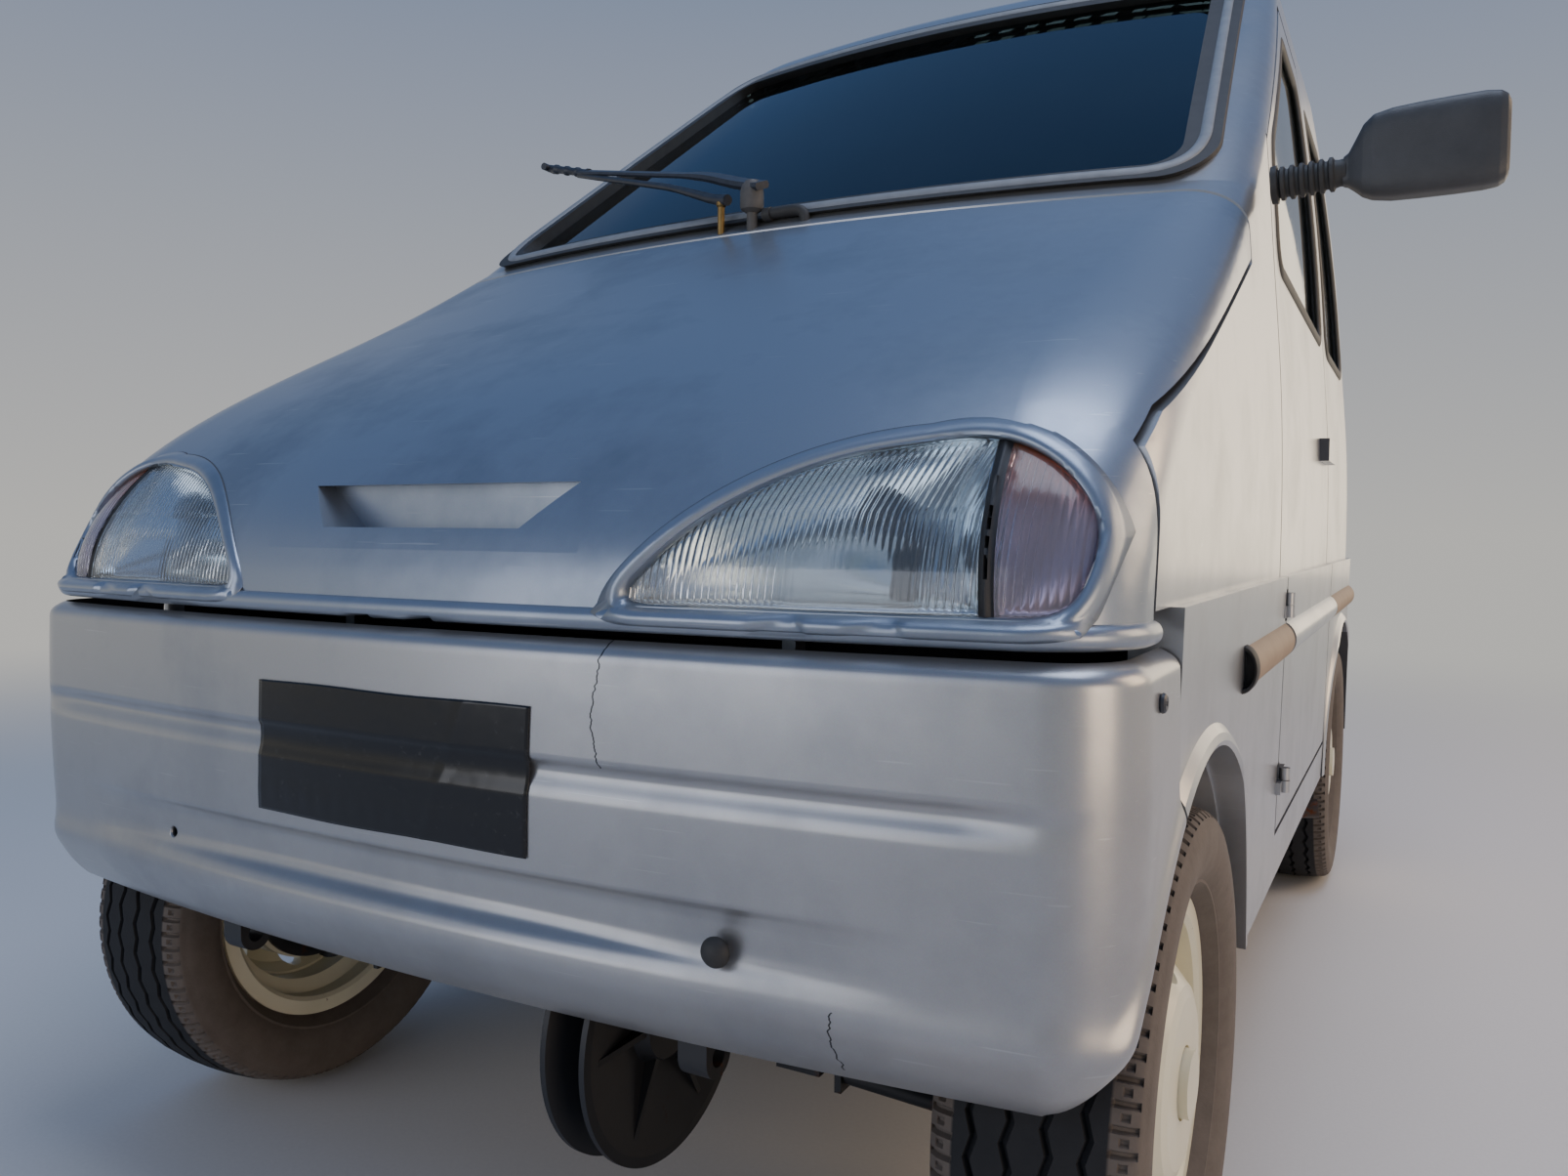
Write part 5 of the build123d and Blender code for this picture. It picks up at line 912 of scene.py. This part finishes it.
# Woven cloth: threads of 2 mm cross at right angles, and wear has evened them out in patches
cloth, node, place = material("woven grey seat cloth")
warp, weft = (node("TexWave", place, Scale=160, bands_direction=way).outputs["Fac"] for way in "XZ")
weave = node("Math", warp, weft, operation="MULTIPLY")
yarn = node("Mix", weave, "#2b2d33", "#5d6068")
wear = node("TexNoise", place, Scale=9, Detail=4)
tone = node("Mix", wear, yarn, "#4a4b50")
thread = node("Bump", Strength=0.4, Distance=0.001, Height=weave)
node("OutputMaterial", node("BsdfPrincipled", tone, Roughness=0.9, Normal=thread))

SEAT_X, PLINTH_Y, PLINTH_WIDE, PLINTH_LONG = 0.245, 0.975, 0.171, 0.174
LEAN = np.array((0, 0.178, 0.74)) / np.hypot(0.178, 0.74)
FACE = np.array((0, -LEAN[2], LEAN[1]))
# Label, centre, half width, half depth or height, half thickness, crown and channels
CUSHIONS = [
    ("cushion", (0.958, 0.462), 0.205, np.array((0, 0.182, -0.012)), np.array((0, 0.003, 0.060)), 0.28,
     (-0.5, 0.0, 0.5)),
    ("backrest", (1.232, 0.818), 0.200, LEAN * 0.325, FACE * 0.052, 0.32, (-0.55, -0.15, 0.25, 0.62))]
# The plastic box under each seat, from its foot up: share of its half sizes and height
PLINTH = ((0, 0.2485), (0.99, 0.2485), (1.0, 0.256), (0.985, 0.300), (0.94, 0.405), (0.92, 0.412),
          (0, 0.412))
angle = np.linspace(0, 2 * np.pi, 73)
square = rounded_square(angle, 9)
for hand, (way, _, _) in HANDS:
    for label, centre, wide, front, up, crown, channels in CUSHIONS:
        grid = cushion((way * SEAT_X, *centre), np.array((wide, 0, 0)), front, up, crown, channels)
        piece = mesh_piece(f"seat_{label}_{hand}", [grid], cloth, "body", ("seats",),
                           crease=70)
    rings = [grid_of(way * SEAT_X + size * PLINTH_WIDE * square * np.cos(angle),
                     PLINTH_Y + size * PLINTH_LONG * square * np.sin(angle), z) for size, z in PLINTH]
    mesh_piece(f"seat_plinth_{hand}", [np.stack(rings)], dark_plastic, "body", ("seats",))

# Window panes: clear toughened glass, thin enough to show straight through, with a dusty film
# that blurs its reflections in patches.
clear_glass, node, place = material("clear toughened window glass")
dusty = node("TexNoise", place, Scale=7, Detail=6, Roughness=0.65)
blur = node("MapRange", dusty, 0.35, 0.75, 0.01, 0.06)
through = node("BsdfTransparent", "#d3dcdd")
gloss = node("BsdfGlossy", "#f4f8fa", Roughness=blur)
node("OutputMaterial", node("MixShader", node("Fresnel", IOR=1.5), through, gloss))
repaint(clear_glass, "windscreen", "door_glass_left", "door_glass_right", "quarter_glass", "tailgate_glass")

# Tail lamps: one acrylic moulding, amber above, red, and clear at the foot, with fine ribs
# inside that break up its shine.
AMBER_FOOT, CLEAR_HEAD = 0.82, 0.718
tail_plastic, node, place = material("moulded tail lamp lens")
height = node("SeparateXYZ", place).outputs["Z"]
upper = node("Math", height, AMBER_FOOT, operation="GREATER_THAN")
lower = node("Math", height, CLEAR_HEAD, operation="LESS_THAN")
amber = node("Mix", upper, "#8f1410", "#c8661a")
lens = node("Mix", lower, amber, "#c9c9c6")
ribs = node("TexWave", place, Scale=60, bands_direction="Z").outputs["Fac"]
fine = node("Bump", Strength=0.5, Distance=0.002, Height=ribs)
node("OutputMaterial", node("BsdfPrincipled", lens, Roughness=0.14, Coat_Weight=0.4, Normal=fine))
repaint(tail_plastic, "tail_lamps")


# Underside: black chassis paint with rust, a dirty cast engine block, a cast pulley painted
# black and worn at its edge, and a rusty exhaust.
def rusty(name, light, dark, rust, amount, metal):
    """Painted or bare metal with grime and rust patches of about 40 mm, rough where it has rusted."""
    made, node, place = material(name)
    spread = node("TexNoise", place, Scale=24, Detail=8, Roughness=0.7)
    mask = node("MapRange", spread, 1 - amount, 1.06 - amount)
    grime = node("TexNoise", place, Scale=9, Detail=5)
    coat = node("Mix", grime, dark, light)
    tone = node("Mix", mask, coat, rust)
    gloss = node("MapRange", mask, To_Min=0.45, To_Max=0.85)
    scale = node("Bump", Strength=0.3, Distance=0.001, Height=spread)
    node("OutputMaterial", node("BsdfPrincipled", tone, Roughness=gloss, Metallic=metal, Normal=scale))
    return made


repaint(rusty("black chassis paint with rust", "#26272a", "#141517", "#4a2f20", 0.42, 0.0),
        "chassis_frame", "front_axle", "knuckle_left", "knuckle_right", "rear_axle")
repaint(rusty("dirty cast aluminium", "#63605b", "#3a3835", "#2a2622", 0.45, 0.6), "engine_block")
repaint(rusty("black paint on a cast pulley", "#232529", "#121316", "#3a302a", 0.36, 0.1), "drive_pulley")
repaint(rusty("rusty exhaust steel", "#5b5049", "#3f3733", "#6b3d22", 0.52, 0.5), "exhaust")
